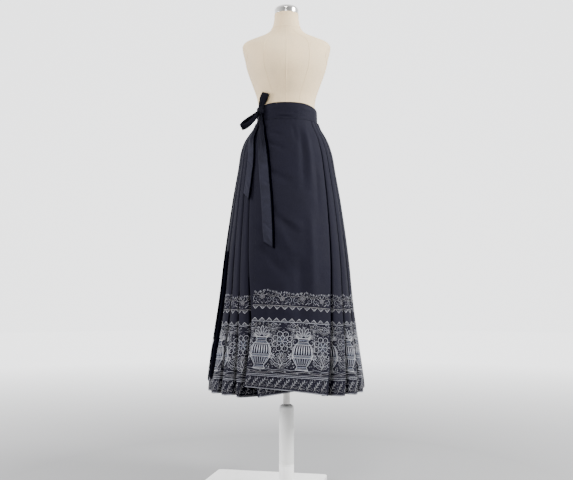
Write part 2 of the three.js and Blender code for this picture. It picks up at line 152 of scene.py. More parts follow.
def sewingFinish():
    # Dark sewing thread of the seams
    finish = Finish("sewingThread", {"Specular IOR Level": 0.2})
    along, _, _ = finish.parts(finish.stored("weave"))
    twist = finish.math("SINE", along * (twoPi / 0.5))
    colour = finish.mixed(twist * 0.5 + 0.5, (0.003, 0.003, 0.006), (0.011, 0.011, 0.018))
    return finish.feed(colour=colour, roughness=finish.between(twist, 0.4, 0.6, -1, 1),
                       normal=finish.bump(twist, 0.5, 0.0002))


def linenFinish():
    # Plain linen, stretched smooth: crossing threads with slubs, a little soiled where it is handled
    look = {"thread": 0.85, "light": (0.85, 0.67, 0.42), "dark": (0.69, 0.52, 0.31)}
    finish = Finish("linen", {"Specular IOR Level": 0.25, "Sheen Weight": 0.15, "Sheen Roughness": 0.5})
    weave = finish.stored("weave")
    across, along, _ = finish.parts(weave)
    warp = finish.math("SINE", across * (twoPi / look["thread"]))
    weft = finish.math("SINE", along * (twoPi / look["thread"]))
    stretched = finish.node("VectorMath", {"operation": "MULTIPLY"}, {0: weave, 1: (0.35, 0.03, 1)})
    slubUp = finish.noise(stretched, 1.0, 4)
    stretchedAcross = finish.node("VectorMath", {"operation": "MULTIPLY"}, {0: weave, 1: (0.03, 0.35, 1)})
    slubAcross = finish.noise(stretchedAcross, 1.0, 4)
    soil = finish.noise(weave, 0.008, 4)
    threads = warp * weft * 0.5 + 0.5
    shade = finish.between(threads * 0.3 + slubUp * 0.35 + slubAcross * 0.35, 0, 1, 0.25, 0.75)
    colour = finish.mixed(shade, look["dark"], look["light"])
    colour = finish.mixed(finish.between(soil, 0, 0.3, 0.45, 0.8), colour, (0.45, 0.37, 0.27))
    return finish.feed(colour=colour, roughness=finish.between(slubUp, 0.75, 0.95, 0.3, 0.7),
                       normal=finish.bump(threads * 0.6 + slubUp * 0.3 + slubAcross * 0.3, 0.5, 0.0004))


def chromeFinish():
    # Polished chrome with faint turning marks and a few dull touches
    finish = Finish("chrome", {"Metallic": 1.0})
    place = finish.node("TexCoord", {}, {}, "Object")
    stretched = finish.node("VectorMath", {"operation": "MULTIPLY"}, {0: place, 1: (20, 20, 900)})
    marks = finish.noise(stretched, 1.0, 3)
    touched = finish.noise(place, 28.0, 5)
    colour = finish.mixed(finish.between(touched, 0, 1, 0.35, 0.7), (0.66, 0.65, 0.63), (0.48, 0.47, 0.45))
    rough = finish.between(touched, 0.06, 0.22, 0.35, 0.75) + 0.05 * marks
    return finish.feed(colour=colour, roughness=rough, normal=finish.bump(marks, 0.06, 0.0002))


def paintFinish():
    # Satin white paint with a faint orange peel, scuffs, and blotches that darken it towards the bottom
    finish = Finish("whitePaint", {"Specular IOR Level": 0.5})
    place = finish.node("TexCoord", {}, {}, "Object")
    _, _, height = finish.parts(place)
    peel = finish.noise(place, 420.0, 2)
    stretched = finish.node("VectorMath", {"operation": "MULTIPLY"}, {0: place, 1: (60, 14, 60)})
    scuff = finish.noise(stretched, 1.0, 5)
    # darker in blotches from the floor up to 0.12 m
    lowDarkening = finish.between(height, 0.35, 0.0, 0.0, 0.12) * finish.noise(place, 9.0, 4)
    colour = finish.mixed(finish.between(scuff, 0, 0.5, 0.6, 0.8), (0.88, 0.88, 0.86), (0.70, 0.69, 0.66))
    colour = finish.mixed(lowDarkening, colour, (0.50, 0.48, 0.44))
    return finish.feed(colour=colour, roughness=finish.between(scuff, 0.34, 0.55, 0.4, 0.8),
                       normal=finish.bump(peel, 0.12, 0.0004))


# Deep and raised colour of each dark cloth, its gloss, and the scale of its blotches where it isn't the usual one
darkCloths = {
    "darkCloth": ((0.0028, 0.0026, 0.0066), (0.0056, 0.0053, 0.0116), 0.11),
    # the tails: a lighter copy of the skirt's cloth with larger blotches, for painted sheen and mottled light
    "litTieCloth": ((0.0052, 0.0052, 0.0096), (0.0185, 0.0188, 0.0305), 0.14, 0.03),
    # the knot and loops: a darker, less glossy copy of the same cloth, for painted shade
    "shadedBowCloth": ((0.0016, 0.0016, 0.0034), (0.0034, 0.0034, 0.0064), 0.06),
    "shadeCloth": ((0.0012, 0.0011, 0.0026), (0.0024, 0.0023, 0.0048), 0.0),
}
finishes = {name: darkClothFinish(name, *look) for name, look in darkCloths.items()}
finishes.update({"thread": threadFinish(), "sewing": sewingFinish(), "linen": linenFinish(),
                 "chrome": chromeFinish(), "paint": paintFinish()})
print("finishes made")


# Meshes
def addPiece(name, points, faces, finish, stores=None, hardEdge=None):
    # A mesh from points in millimetres, riding on the one body of the part
    mesh = bpy.data.meshes.new(name)
    mesh.from_pydata((np.asarray(points) * mm).tolist(), [], faces)
    for label, values in (stores or {}).items():
        kind = "FLOAT_COLOR" if values.shape[1] == 4 else "FLOAT_VECTOR"
        store = mesh.attributes.new(label, kind, "POINT")
        store.data.foreach_set("color" if kind == "FLOAT_COLOR" else "vector", values.astype(np.float32).ravel())
    mesh.shade_smooth()
    if hardEdge:
        mesh.set_sharp_from_angle(angle=math.radians(hardEdge))
    mesh.materials.append(finishes[finish].material)
    piece = bpy.data.objects.new(name, mesh)
    bpy.context.scene.collection.objects.link(piece)
    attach(piece, "root")
    return piece


def gridFaces(rows, columns, start=0, closed=False):
    # Quads of a grid, as rows of point numbers
    row, column = np.meshgrid(np.arange(rows - 1), np.arange(columns if closed else columns - 1), indexing="ij")
    after = (column + 1) % columns
    corners = [row * columns + column, row * columns + after, (row + 1) * columns + after,
               (row + 1) * columns + column]
    return np.stack([corner.ravel() for corner in corners], -1) + start


def ringFaces(rings, count):
    # Faces of stacked rings, closed at both ends
    faces = gridFaces(rings, count, closed=True).tolist()
    faces.append(list(range(count))[::-1])
    faces.append([(rings - 1) * count + place for place in range(count)])
    return faces


shadeLimit = 0.6  # faces of the cloth deeper in shade than this have no gloss


def shell(name, middle, thickness, measure, round=0.5, fold=None, finish="darkCloth"):
    # A closed wall round a grid of middle points; its rows run down and its columns run with the turn.
    # Its rim has a middle line that stands out by a share of the thickness, so that the edge is rounded.
    rows, columns = middle.shape[:2]
    along = np.gradient(middle, axis=1)
    down = np.gradient(middle, axis=0)
    normal = np.cross(down, along)
    normal /= np.maximum(np.linalg.norm(normal, axis=-1, keepdims=True), 1e-9)
    face = middle + normal * thickness / 2
    back = middle - normal * thickness / 2
    rim = [(0, c) for c in range(columns)] + [(r, columns - 1) for r in range(1, rows)]
    rim += [(rows - 1, c) for c in range(columns - 2, -1, -1)] + [(r, 0) for r in range(rows - 2, 0, -1)]
    rimRows, rimColumns = np.array(rim).T
    edge = middle[rimRows, rimColumns]
    inner = middle[np.clip(rimRows, 1, rows - 2), np.clip(rimColumns, 1, columns - 2)]
    outward = edge - inner
    outward /= np.maximum(np.linalg.norm(outward, axis=-1, keepdims=True), 1e-9)
    rimLine = edge + outward * thickness * round * 0.5
    count = rows * columns
    faceNumber = rimRows * columns + rimColumns
    rimNumber = 2 * count + np.arange(len(rim))
    after = np.roll(np.arange(len(rim)), -1)
    faces = gridFaces(rows, columns)[:, ::-1].tolist()
    faces += gridFaces(rows, columns, count).tolist()
    faces += np.stack([faceNumber, faceNumber[after], rimNumber[after], rimNumber], -1).tolist()
    faces += np.stack([rimNumber, rimNumber[after], faceNumber[after] + count, faceNumber + count], -1).tolist()
    points = np.concatenate([face.reshape(-1, 3), back.reshape(-1, 3), rimLine])
    flat = measure.reshape(-1, 2)
    flat = np.concatenate([flat, flat, measure[rimRows, rimColumns]])
    # Fold, where given, is painted shade: it darkens the dark cloth's colour through the weave's third measure,
    # and faces deeper than shadeLimit go onto the glossless shade cloth
    deep = np.zeros(middle.shape[:2]) if fold is None else np.broadcast_to(fold, middle.shape[:2])
    deep = np.concatenate([deep.ravel(), deep.ravel(), deep[rimRows, rimColumns]])
    stores = {"weave": np.column_stack([flat, deep])}
    piece = addPiece(name, points, faces, finish, stores, hardEdge=55)
    if fold is not None:
        piece.data.materials.append(finishes["shadeCloth"].material)
        inShade = [int(deep[face].mean() > shadeLimit) for face in faces]
        piece.data.polygons.foreach_set("material_index", inShade)
    return piece


def turned(name, profile, finish, base=0.0, sides=96, hardEdge=40):
    # A turned piece from radius and height pairs, closed at both ends
    rings = np.array(profile, float)
    angle = np.arange(sides) * (twoPi / sides)
    points = np.stack([np.outer(rings[:, 0], np.cos(angle)), np.outer(rings[:, 0], np.sin(angle)),
                       np.repeat(rings[:, 1:] + base, sides, axis=1)], -1).reshape(-1, 3)
    return addPiece(name, points, ringFaces(len(rings), sides), finish, hardEdge=hardEdge)


def arc(centreRadius, centreHeight, radius, start, end, steps):
    # Profile points round a quarter or half circle, angles in degrees from level
    turns = np.radians(np.linspace(start, end, steps))
    return [(centreRadius + radius * math.cos(turn), centreHeight + radius * math.sin(turn)) for turn in turns]


# Sections of the worn cloth and of the form, as in the part's source
skirtSections = {
    "z": (342, 388, 479, 570, 659, 750, 841, 966, 1002, 1084, 1120, 1147, 1175, 1198, 1218, 1244),
    "side": (262, 258, 246, 233.5, 222.5, 214, 203, 185, 179, 164, 156, 147.5, 137, 125, 113, 103.5),
    "front": (234, 228, 217, 205, 192, 178, 163, 139, 131, 115, 109, 104, 99, 95, 91.5, 88.5),
    "back": (236, 230, 219, 208, 196, 183, 168, 149, 144, 132, 127, 120, 112, 103, 94, 87.5),
    "layer": (7.0, 6.7, 6.2, 5.7, 5.2, 4.7, 4.2, 3.5, 3.2, 2.6, 2.3, 2.1, 1.9, 1.7, 1.55, 1.45),
}
formSections = {
    "z": (1000, 1012, 1050, 1090, 1125, 1155, 1185, 1210, 1228, 1234, 1298, 1304, 1330, 1375, 1420, 1460,
          1490, 1508, 1521, 1534, 1546, 1560, 1578, 1600, 1619),
    "side": (140, 146, 149, 146, 139, 129, 115, 103, 98.3, 98.1, 96.1, 96.0, 101, 117, 133, 143,
             150, 150, 138, 106, 75, 56, 47, 42.5, 41),
    "front": (92, 96, 98, 97, 94, 91, 88, 85, 82.8, 82.6, 80.6, 80.5, 86, 104, 117, 112,
              95, 82, 70, 60, 54, 50, 46, 42.5, 41),
    "back": (106, 112, 115, 114, 109, 102, 93, 84.5, 81.8, 81.6, 79.6, 79.5, 81, 86, 92, 97,
             95, 86, 76, 66, 58, 52, 46, 42, 41),
}
cloth = {"seam": 1240, "seamDip": 4, "bandTop": 1296, "bandTopDip": 18, "hem": 342, "wall": 1.0,
         "middleShare": 0.445, "cornerLift": 29}
flatLength = cloth["seam"] - cloth["hem"]


def columnAt(table, column, z):
    # Value of a column at heights z, on a smooth line through the rows
    heights, values = np.array(table["z"], float), np.array(table[column], float)
    last = len(heights) - 1
    z = np.clip(z, heights[0], heights[-1])
    low = np.clip(np.searchsorted(heights, z, side="right") - 1, 0, last - 1)
    numbers = np.arange(last + 1)
    before, after = np.maximum(numbers - 1, 0), np.minimum(numbers + 1, last)
    slopes = (values[after] - values[before]) / (heights[after] - heights[before])
    span = heights[low + 1] - heights[low]
    share = (z - heights[low]) / span
    rise = values[low + 1] - values[low]
    startPull = slopes[low] * span - rise
    endPull = rise - slopes[low + 1] * span
    return values[low] + rise * share + share * (1 - share) * ((1 - share) * startPull + share * endPull)


def ovalPoint(table, turn, z, outward):
    # Point on an oval section at a turn in degrees from the front, moved outward
    turn, z, outward = np.broadcast_arrays(*[np.asarray(value, float) for value in (turn, z, outward)])
    angle = np.radians(turn)
    side = columnAt(table, "side", z)
    depth = np.where(np.cos(angle) > 0, columnAt(table, "front", z), columnAt(table, "back", z))
    out = np.stack([np.sin(angle) / side, -np.cos(angle) / depth, np.zeros_like(side)], -1)
    out /= np.linalg.norm(out, axis=-1, keepdims=True)
    return np.stack([side * np.sin(angle), -depth * np.cos(angle), z], -1) + out * outward[..., None]


def millimetresPerDegree(turn, z):
    angle = np.radians(turn)
    side = columnAt(skirtSections, "side", z)
    inFront = np.cos(angle) > 0
    depth = np.where(inFront, columnAt(skirtSections, "front", z), columnAt(skirtSections, "back", z))
    return np.radians(np.hypot(side * np.cos(angle), depth * np.sin(angle)))


def downTheCloth(row, share):
    # Value from its three given places: at the seam, halfway down and at the hem
    middle = cloth["middleShare"]
    atSeam = (share - middle) * (share - 1) / middle
    atMiddle = share * (share - 1) / (middle * (middle - 1))
    atHem = share * (share - middle) / (1 - middle)
    return row["seam"] * atSeam + row["middle"] * atMiddle + row["hem"] * atHem


def smooth(value):
    share = np.clip(value, 0, 1)
    return share * share * (3 - 2 * share)


def seamAt(turn):
    return cloth["seam"] - cloth["seamDip"] * np.sin(np.radians(turn)) ** 2


def bandTopAt(turn):
    return cloth["bandTop"] - cloth["bandTopDip"] * np.sin(np.radians(turn)) ** 4


fullness = {"hip": 7.5, "hipHeight": 1160, "hipSpread": 48, "waist": 4.5, "waistFrom": 1060, "waistRise": 110}


def ease(turn, z):
    # How far the worn cloth stands out at the hip on the bow's side, and from the hip up on the other
    side = np.sin(np.radians(turn))
    hip = fullness["hip"] * np.exp(-((z - fullness["hipHeight"]) / fullness["hipSpread"]) ** 2)
    waist = fullness["waist"] * smooth((z - fullness["waistFrom"]) / fullness["waistRise"])
    return np.clip(-side, 0, 1) ** 2 * hip + np.clip(side, 0, 1) ** 4 * waist


def swing(turn, z):
    # Soft unevenness of the hanging cloth, shared by all the layers at one place
    fall = np.clip((cloth["seam"] - z) / (cloth["seam"] - cloth["hem"]), 0, 1) ** 1.3
    first = 1.5 * np.sin(np.radians(5 * turn) + z / 170)
    second = 1.0 * np.sin(np.radians(9 * turn) - z / 110 + 1.3)
    return fall * (first + second) + ease(turn, z)


creaseStrength = 2.0


def creaseHeight(creases, turn, z):
    # Soft troughs, with a minus depth, and ridges between two places given by turn and height
    total = np.zeros(np.broadcast(turn, z).shape)
    for startTurn, startZ, endTurn, endZ, depth, width in creases:
        scale = math.radians(float(columnAt(skirtSections, "side", (startZ + endZ) / 2)))
        runX, runZ = (endTurn - startTurn) * scale, endZ - startZ
        x, y = (turn - startTurn) * scale, z - startZ
        reach = math.hypot(runX, runZ)
        along = (x * runX + y * runZ) / reach ** 2
        off = (x * runZ - y * runX) / reach
        fade = smooth(along / 0.28) * smooth((1 - along) / 0.4)
        total = total + depth * np.exp(-(off / width) ** 2) * fade
    return total * creaseStrength


# Flat panels: the fold at one side, the free edge at the other
panelWidth = 262.0  # of the pattern, from the free edge to the fold
cornerCurve = 1.8
panels = {
    "outer": {"fold": {"seam": 49.5, "middle": 43.5, "hem": 30}, "free": {"seam": -47, "middle": -31, "hem": -30},
              "facing": 1, "lower": 0, "stand": {"seam": 2.4, "middle": 4.5, "hem": 6}},
    "inner": {"fold": {"seam": 132, "middle": 143, "hem": 160}, "free": {"seam": 228, "middle": 217.5, "hem": 220},
              "facing": -1, "lower": 2, "stand": {"seam": -5.0, "middle": -13, "hem": -20}},
}
# Each crease: turn and height at its start, turn and height at its end, depth, half width
frontCreases = [
    (-29, 1199, -2, 1180, -1.2, 6), (-31, 1165, 4, 1128, -1.3, 8), (-30, 1150, -6, 1136, 1.0, 5),
    (-27, 1075, 12, 1010, -1.5, 11), (-22, 960, 12, 846, -1.8, 13), (-17, 938, 20, 858, 1.5, 11),
    (-26, 830, 3, 700, -2.4, 12), (-12, 905, 8, 770, 1.8, 14), (-28, 890, -10, 800, -1.4, 9),
    (31, 1232, 27, 985, 1.9, 11), (21, 1226, 18, 960, -1.5, 11), (24, 960, 22, 560, 2.4, 16),
    (12, 800, 11, 500, -2.6, 18), (-2, 760, -3, 470, 2.2, 17), (-15, 700, -16, 480, -2.0, 15),
    (10, 1228, 14, 1150, -1.0, 7), (36, 1100, 33, 900, -1.2, 10), (-8, 620, 6, 540, -1.2, 12),
]
backCreases = [
    (-28, 1196, 2, 1176, -1.4, 7), (28, 1190, -6, 1165, -1.3, 8), (-24, 1060, 16, 985, -1.6, 12),
    (20, 1010, -14, 900, 1.7, 12), (-20, 900, 14, 790, -2.2, 13), (25, 860, 2, 730, -1.9, 12),
    (-10, 780, 8, 640, 1.8, 15), (24, 940, 22, 560, 2.2, 17), (12, 760, 11, 480, -2.4, 18),
    (-4, 720, -5, 470, 2.0, 16), (-17, 690, -18, 470, -2.0, 15), (33, 1180, 30, 960, 1.3, 13),
]
innerCreases = [(205, 800, 200, 470, -1.8, 18), (190, 760, 188, 480, 1.6, 16), (178, 720, 180, 470, -1.4, 15)]


def panelPlace(panel, across, share, roll, creases, halfTurn):
    # Place on a flat panel. Across is 0 at the fold and 1 at the free edge; roll goes round the fold:
    # a quarter turn at the panel's face, none at its outermost line and minus a quarter below.
    fold, free = downTheCloth(panel["fold"], share), downTheCloth(panel["free"], share)
    level = cloth["seam"] + (cloth["hem"] - cloth["seam"]) * share
    spacing = columnAt(skirtSections, "layer", level)
    rollDegrees = spacing / 2 / millimetresPerDegree(fold, level)
    start = fold - panel["facing"] * rollDegrees
    turn = start + (free - start) * across + panel["facing"] * rollDegrees * np.cos(roll)
    lifted = cloth["cornerLift"] * (1 - (1 - np.clip(across, 0, 1)) ** cornerCurve)
    top = seamAt(turn + halfTurn)
    z = top + (cloth["hem"] - panel["lower"] + lifted - top) * share
    spread = across * 1.3 if panel["facing"] > 0 else (across - 0.1) / 0.6
    outward = downTheCloth(panel["stand"], share) * smooth(spread) + (np.sin(roll) - 1) * spacing / 2
    worn = creaseHeight(creases, turn, z) * smooth(share / 0.04) * smooth(across / 0.08)
    return turn + halfTurn, z, outward + worn + swing(turn + halfTurn, z)


def rowShares(count):
    # Places down the cloth, closer together near the seam
    even = np.linspace(0, 1, count)
    return even * (0.55 + 0.45 * even)


def panelShell(name, panel, creases, halfTurn):
    shares = rowShares(128)[:, None]
    steps = np.linspace(0, 1, 57)
    quarter = math.pi / 2
    rolls = np.linspace(quarter, -quarter, 8)[1:]
    across = np.concatenate([steps[::-1], np.zeros(len(rolls))])[None, :]
    roll = np.concatenate([np.full(len(steps), quarter), rolls])[None, :]
    turn, z, outward = panelPlace(panel, across, shares, roll, creases, halfTurn)
    points = ovalPoint(skirtSections, turn, z, outward)
    measure = np.stack(np.broadcast_arrays((1 - across) * panelWidth - roll * 4, (1 - shares) * flatLength), -1)
    if panel["facing"] < 0:
        points, measure = points[:, ::-1], measure[:, ::-1]
    return shell(name, points, cloth["wall"], measure)


# Knife pleats: each half of the side folds towards the middle of the side
pleats = {
    "depth": {"seam": 5.4, "middle": 6.2, "hem": 4.2},
    "facingOn": [
        {"seam": 49.5, "middle": 43.5, "hem": 30, "lower": 0},
        {"seam": 59, "middle": 57, "hem": 46, "lower": 5},
        {"seam": 68, "middle": 70, "hem": 60.5, "lower": 6},
        {"seam": 77, "middle": 84, "hem": 75, "lower": 5},
        {"seam": 86, "middle": 96, "hem": 87, "lower": 6},
    ],
    "facingBack": [
        {"seam": -132, "middle": -143, "hem": -160, "lower": 2},
        {"seam": -123, "middle": -134, "hem": -142, "lower": 6, "covered": True},
        {"seam": -114, "middle": -124.5, "hem": -127, "lower": 5},
        {"seam": -105, "middle": -115, "hem": -110, "lower": 6},
        {"seam": -96, "middle": -105.5, "hem": -93.5, "lower": 5},
    ],
    # the last fold before the side's middle hangs higher and stands out, for each turn of the piece
    "last": {0: {"lower": -6, "out": 0.3}, 180: {"lower": -28, "out": 1.0}},
    "shade": (0, 0.31, 0.33, 0.40, 0.28),  # share of each face that lies in the shade of the fold beside it
    "crown": 0.12,  # how far each face bulges, in layers
    "take": 106.0,  # cloth in one pleat at the hem
    "facingBackFrom": 500,  # places along the border's pattern where the folds facing back start,
    "middleFrom": 470,  # and the strip between the two sets
    "shown": 84,  # length of pattern that one face can show
}
# Strip in shade between the two sets of folds: degrees, then heights over the hem
bareStrip = {"from": 77, "to": 109.5, "above": 26, "deepTo": 400, "fade": 130}
pleatTop = cloth["seam"] - cloth["seamDip"]


def foldEdge(row, share):
    # The folded edge wavers a little on its way down
    return downTheCloth(row, share) + 0.3 * np.sin(6 * share + 1.7 * row["seam"]) * smooth(share * 2)


def pleatRows(way, halfTurn):
    rows = pleats[way]
    return rows[:-1] + [{**rows[-1], **pleats["last"][halfTurn]}] if way == "facingOn" else rows


def topLayer(row, share):
    # Layer of the fold's outermost line
    return 2 + row.get("out", 0) * share ** 2


def pleatMeasures(row, share):
    # Edge, depth and roll of one fold in degrees, its layer spacing, and the scale at its edge
    level = pleatTop + (cloth["hem"] - pleatTop) * share
    spacing = columnAt(skirtSections, "layer", level)
    edge = foldEdge(row, share)
    scale = millimetresPerDegree(edge, level)
    return edge, downTheCloth(pleats["depth"], share), spacing / 2 / scale, spacing, scale


def faceLayer(turn, previous, edge, depth, top):
    # Layer of a pleat's face, from the bottom one beside the last fold to the top one at its own
    x = np.clip((turn - previous) / (edge - depth - previous), 0, 1)
    return top * x + pleats["crown"] * 2 * np.sin(math.pi * x), x


def footShade(rows, number, turn, share):
    # How dark a face is near its foot, where the fold beside it or the panel's free edge stands over it
    edge, depth, _, _, _ = pleatMeasures(rows[number], share)
    foot = foldEdge(rows[number - 1], share)
    pitch = edge - depth - foot
    if rows[number].get("covered"):
        foot = np.maximum(foot, -180 - downTheCloth(panels["outer"]["free"], share))
    return 1 - smooth(((turn - foot) / pitch - pleats["shade"][number]) / 0.22)


def pleatHalf(rows, share):
    # Turn, layer, lowered hem and shade of each point of the folded cloth, from the panel to the side's middle
    columns = []
    quarter = math.pi / 2
    previous = None
    for number, row in enumerate(rows):
        edge, depth, roll, _, _ = pleatMeasures(row, share)
        top = topLayer(row, share)
        if previous is None:
            columns.append((edge - roll, 1 + 0 * share, 0 * share, 0 * share))
        else:
            for step in np.arange(9) / 9:
                turn = previous + (edge - roll - previous) * step
                layer, x = faceLayer(turn, previous, edge, depth, top)
                columns.append((turn, layer, row["lower"] * x, footShade(rows, number, turn, share)))
            for angle in np.linspace(quarter, -quarter, 7):
                raised = 0.5 + 0.5 * math.sin(angle)
                columns.append((edge - roll + roll * math.cos(angle), 1 + (top - 1) * raised,
                                row["lower"] * raised + 0 * share, 0.8 * (1 - raised) + 0 * share))
        for step in (0.33, 0.67):
            columns.append((edge - roll - (depth - 2 * roll) * step, 1 + 0 * share, 0 * share, 0.9 + 0 * share))
        for angle in np.linspace(quarter, 3 * quarter, 7):
            columns.append((edge - depth + roll + roll * math.cos(angle), 0.5 + 0.5 * math.sin(angle) + 0 * share,
                            0 * share, 0.9 + 0 * share))
        columns.append((edge - depth * 0.45, 0 * share, 0 * share, 0.9 + 0 * share))
        previous = edge
    columns.append((previous, 0 * share, 0 * share, 0.9 + 0 * share))
    return columns


def pleatPoints(turn, layer, lower, share, halfTurn):
    top = seamAt(turn + halfTurn)
    z = top + (cloth["hem"] - lower - top) * share
    level = pleatTop + (cloth["hem"] - pleatTop) * share
    outward = (layer - 2) * columnAt(skirtSections, "layer", level) + swing(turn + halfTurn, z)
    return ovalPoint(skirtSections, turn + halfTurn, z, outward)


def pleatShell(name, halfTurn):
    share = rowShares(92)
    first = pleatHalf(pleatRows("facingOn", halfTurn), share)
    second = [(-turn, *rest) for turn, *rest in pleatHalf(pleats["facingBack"], share)[::-1]]
    bridge = [tuple(a + (b - a) * step for a, b in zip(first[-1], second[0])) for step in (0.25, 0.5, 0.75)]
    columns = first + bridge + second
    turn, layer, lower, deep = [np.stack(part, 1) for part in zip(*columns)]
    points = pleatPoints(turn, layer, lower, share[:, None], halfTurn)
    steps = np.linalg.norm(np.diff(points[-1], axis=0), axis=-1)
    travel = np.concatenate([[0], np.cumsum(steps)])
    height = (1 - share[:, None]) * flatLength
    measure = np.stack(np.broadcast_arrays(travel[None, :], height), -1)
    if halfTurn:  # the middle of this side lies in shade, down to the border's lowest row
        middle = np.clip((turn[-1] - bareStrip["from"]) / 4, 0, 1)
        middle = middle * np.clip((bareStrip["to"] - turn[-1]) / 1.5, 0, 1)
        lit = 0.15 + 0.6 * smooth((height - bareStrip["deepTo"]) / bareStrip["fade"])
        deep = np.maximum(deep, middle[None, :] * smooth((height - bareStrip["above"]) / 8) * (1 - lit))
    return shell(name, points, cloth["wall"], measure, fold=deep)


# The two equal pieces of the skirt, the second turned halfway round
skirtPieces = [(0, "front_outer_panel", "right_pleats", "back_inner_panel", frontCreases),
               (180, "back_outer_panel", "left_pleats", "front_inner_panel", backCreases)]
shells = {}
for halfTurn, outerName, pleatName, innerName, creases in skirtPieces:
    shells[outerName] = panelShell(outerName + "_cloth", panels["outer"], creases, halfTurn)
    shells[pleatName] = pleatShell(pleatName + "_cloth", halfTurn)
    shells[innerName] = panelShell(innerName + "_cloth", panels["inner"], innerCreases, halfTurn)
for nodeName, piece in shells.items():
    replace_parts(piece, nodeName)
print("skirt pieces made")


# Threads laid on a surface
stitchLength = 2.6  # between the points of a stitched line
threadFullness = 0.93  # of the widths that the pattern gives
shades = {"white": (0.68, 0.69, 0.73), "silver": (0.39, 0.40, 0.44), "ice": (0.31, 0.36, 0.48),
          "warm": (0.25, 0.245, 0.235), "grey": (0.15, 0.15, 0.17), "dim": (0.07, 0.07, 0.09)}


class Needlework:
    # Stitched lines in flat measures: along the hem and up from it, in millimetres
    def __init__(self):
        self.lines = []

    def line(self, points, width, *tones):
        # The tones are spread evenly from the line's start to its end
        points = np.asarray(points, float)
        lengths = np.concatenate([[0], np.cumsum(np.linalg.norm(np.diff(points, axis=0), axis=1))])
        count = max(2, int(math.ceil(lengths[-1] / stitchLength)) + 1)
        places = np.linspace(0, lengths[-1], count)
        fine = np.stack([np.interp(places, lengths, points[:, axis]) for axis in (0, 1)], -1)
        widths = threadFullness * np.interp(places, lengths, np.broadcast_to(width, len(points)))
        table = np.array([shades[tone] for tone in tones])
        share, stops = np.linspace(0, 1, count), np.linspace(0, 1, len(tones))
        colours = np.stack([np.interp(share, stops, table[:, part]) for part in range(3)], -1)
        travel = np.gradient(fine, axis=0)
        travel /= np.maximum(np.linalg.norm(travel, axis=1, keepdims=True), 1e-9)
        self.lines.append((fine, travel, np.maximum(widths, 0.35), colours, places))

    def leaf(self, x, y, angle, length, width, *tones, bend=0.0):
        # A filled leaf or petal from its foot at x, y
        share = np.linspace(0, 1, 7)
        turn = math.radians(angle) + math.radians(bend) * (share - 0.5)
        step = length / 6
        places = [(x, y)]
        for heading in turn[:-1]:
            places.append((places[-1][0] + step * math.cos(heading), places[-1][1] + step * math.sin(heading)))
        self.line(places, width * np.sin(math.pi * (0.06 + 0.9 * share)) ** 0.8, *tones)

    def petal(self, x, y, angle, length, width, *tones, stroke=1.5, vein="grey"):
        # An open petal: its outline in one line, and a vein up its middle
        share = np.concatenate([np.linspace(0, 1, 9), np.linspace(1, 0, 9)[1:]])
        side = np.concatenate([np.ones(9), -np.ones(8)])
        off = side * width / 2 * np.sin(math.pi * (0.04 + 0.92 * share)) ** 0.7
        ahead = np.array([math.cos(math.radians(angle)), math.sin(math.radians(angle))])
        aside = np.array([-ahead[1], ahead[0]])
        self.line([(x, y) + ahead * go * length + aside * out for go, out in zip(share, off)], stroke, *tones)
        if vein:
            self.line([(x, y) + ahead * length * go for go in (0.2, 0.5, 0.78)], [0.8, 1.3, 0.5], vein)

    def curl(self, x, y, radius, start, sweep, width, *tones):
        # A spiral from its outer end inwards
        share = np.linspace(0, 1, 15)
        angle = np.radians(start + sweep * share)
        reach = radius * (1 - 0.78 * share)
        places = np.stack([x + reach * np.cos(angle), y + reach * np.sin(angle)], -1)
        self.line(places, width * (1 - 0.4 * share), *tones)

    def ring(self, x, y, petals, inner, outer, width, *tones, start=90, opened=False):
        # Petals round a centre, filled or as outlines
        for petal in range(petals):
            angle = start + 360 * petal / petals
            foot = math.radians(angle)
            draw = self.petal if opened else self.leaf
            draw(x + inner * math.cos(foot), y + inner * math.sin(foot), angle, outer - inner, width, *tones)

    def dot(self, x, y, size, tone):
        self.line([(x - size / 2, y), (x, y), (x + size / 2, y)], [size * 0.5, size, size * 0.5], tone)


class Covered:
    # Cells of the flat pattern that already hold thread
    cell = 1.5

    def __init__(self, width, height):
        self.width = int(width / self.cell)
        self.grid = np.zeros((self.width, int(height / self.cell) + 1), bool)

    def mark(self, points, widths):
        for (x, y), width in zip(points, widths):
            half = max(1, int(round(width / 2 / self.cell + 0.3)))
            column, row = int(x / self.cell), int(y / self.cell)
            columns = np.arange(column - half, column + half + 1) % self.width
            low, high = max(row - half, 0), min(row + half + 1, self.grid.shape[1])
            self.grid[columns, low:high] = True

    def free(self, x, y, radius):
        half = int(radius / self.cell)
        column, row = int(x / self.cell), int(y / self.cell)
        columns = np.arange(column - half, column + half + 1) % self.width
        return not self.grid[columns, max(row - half, 0):row + half + 1].any()


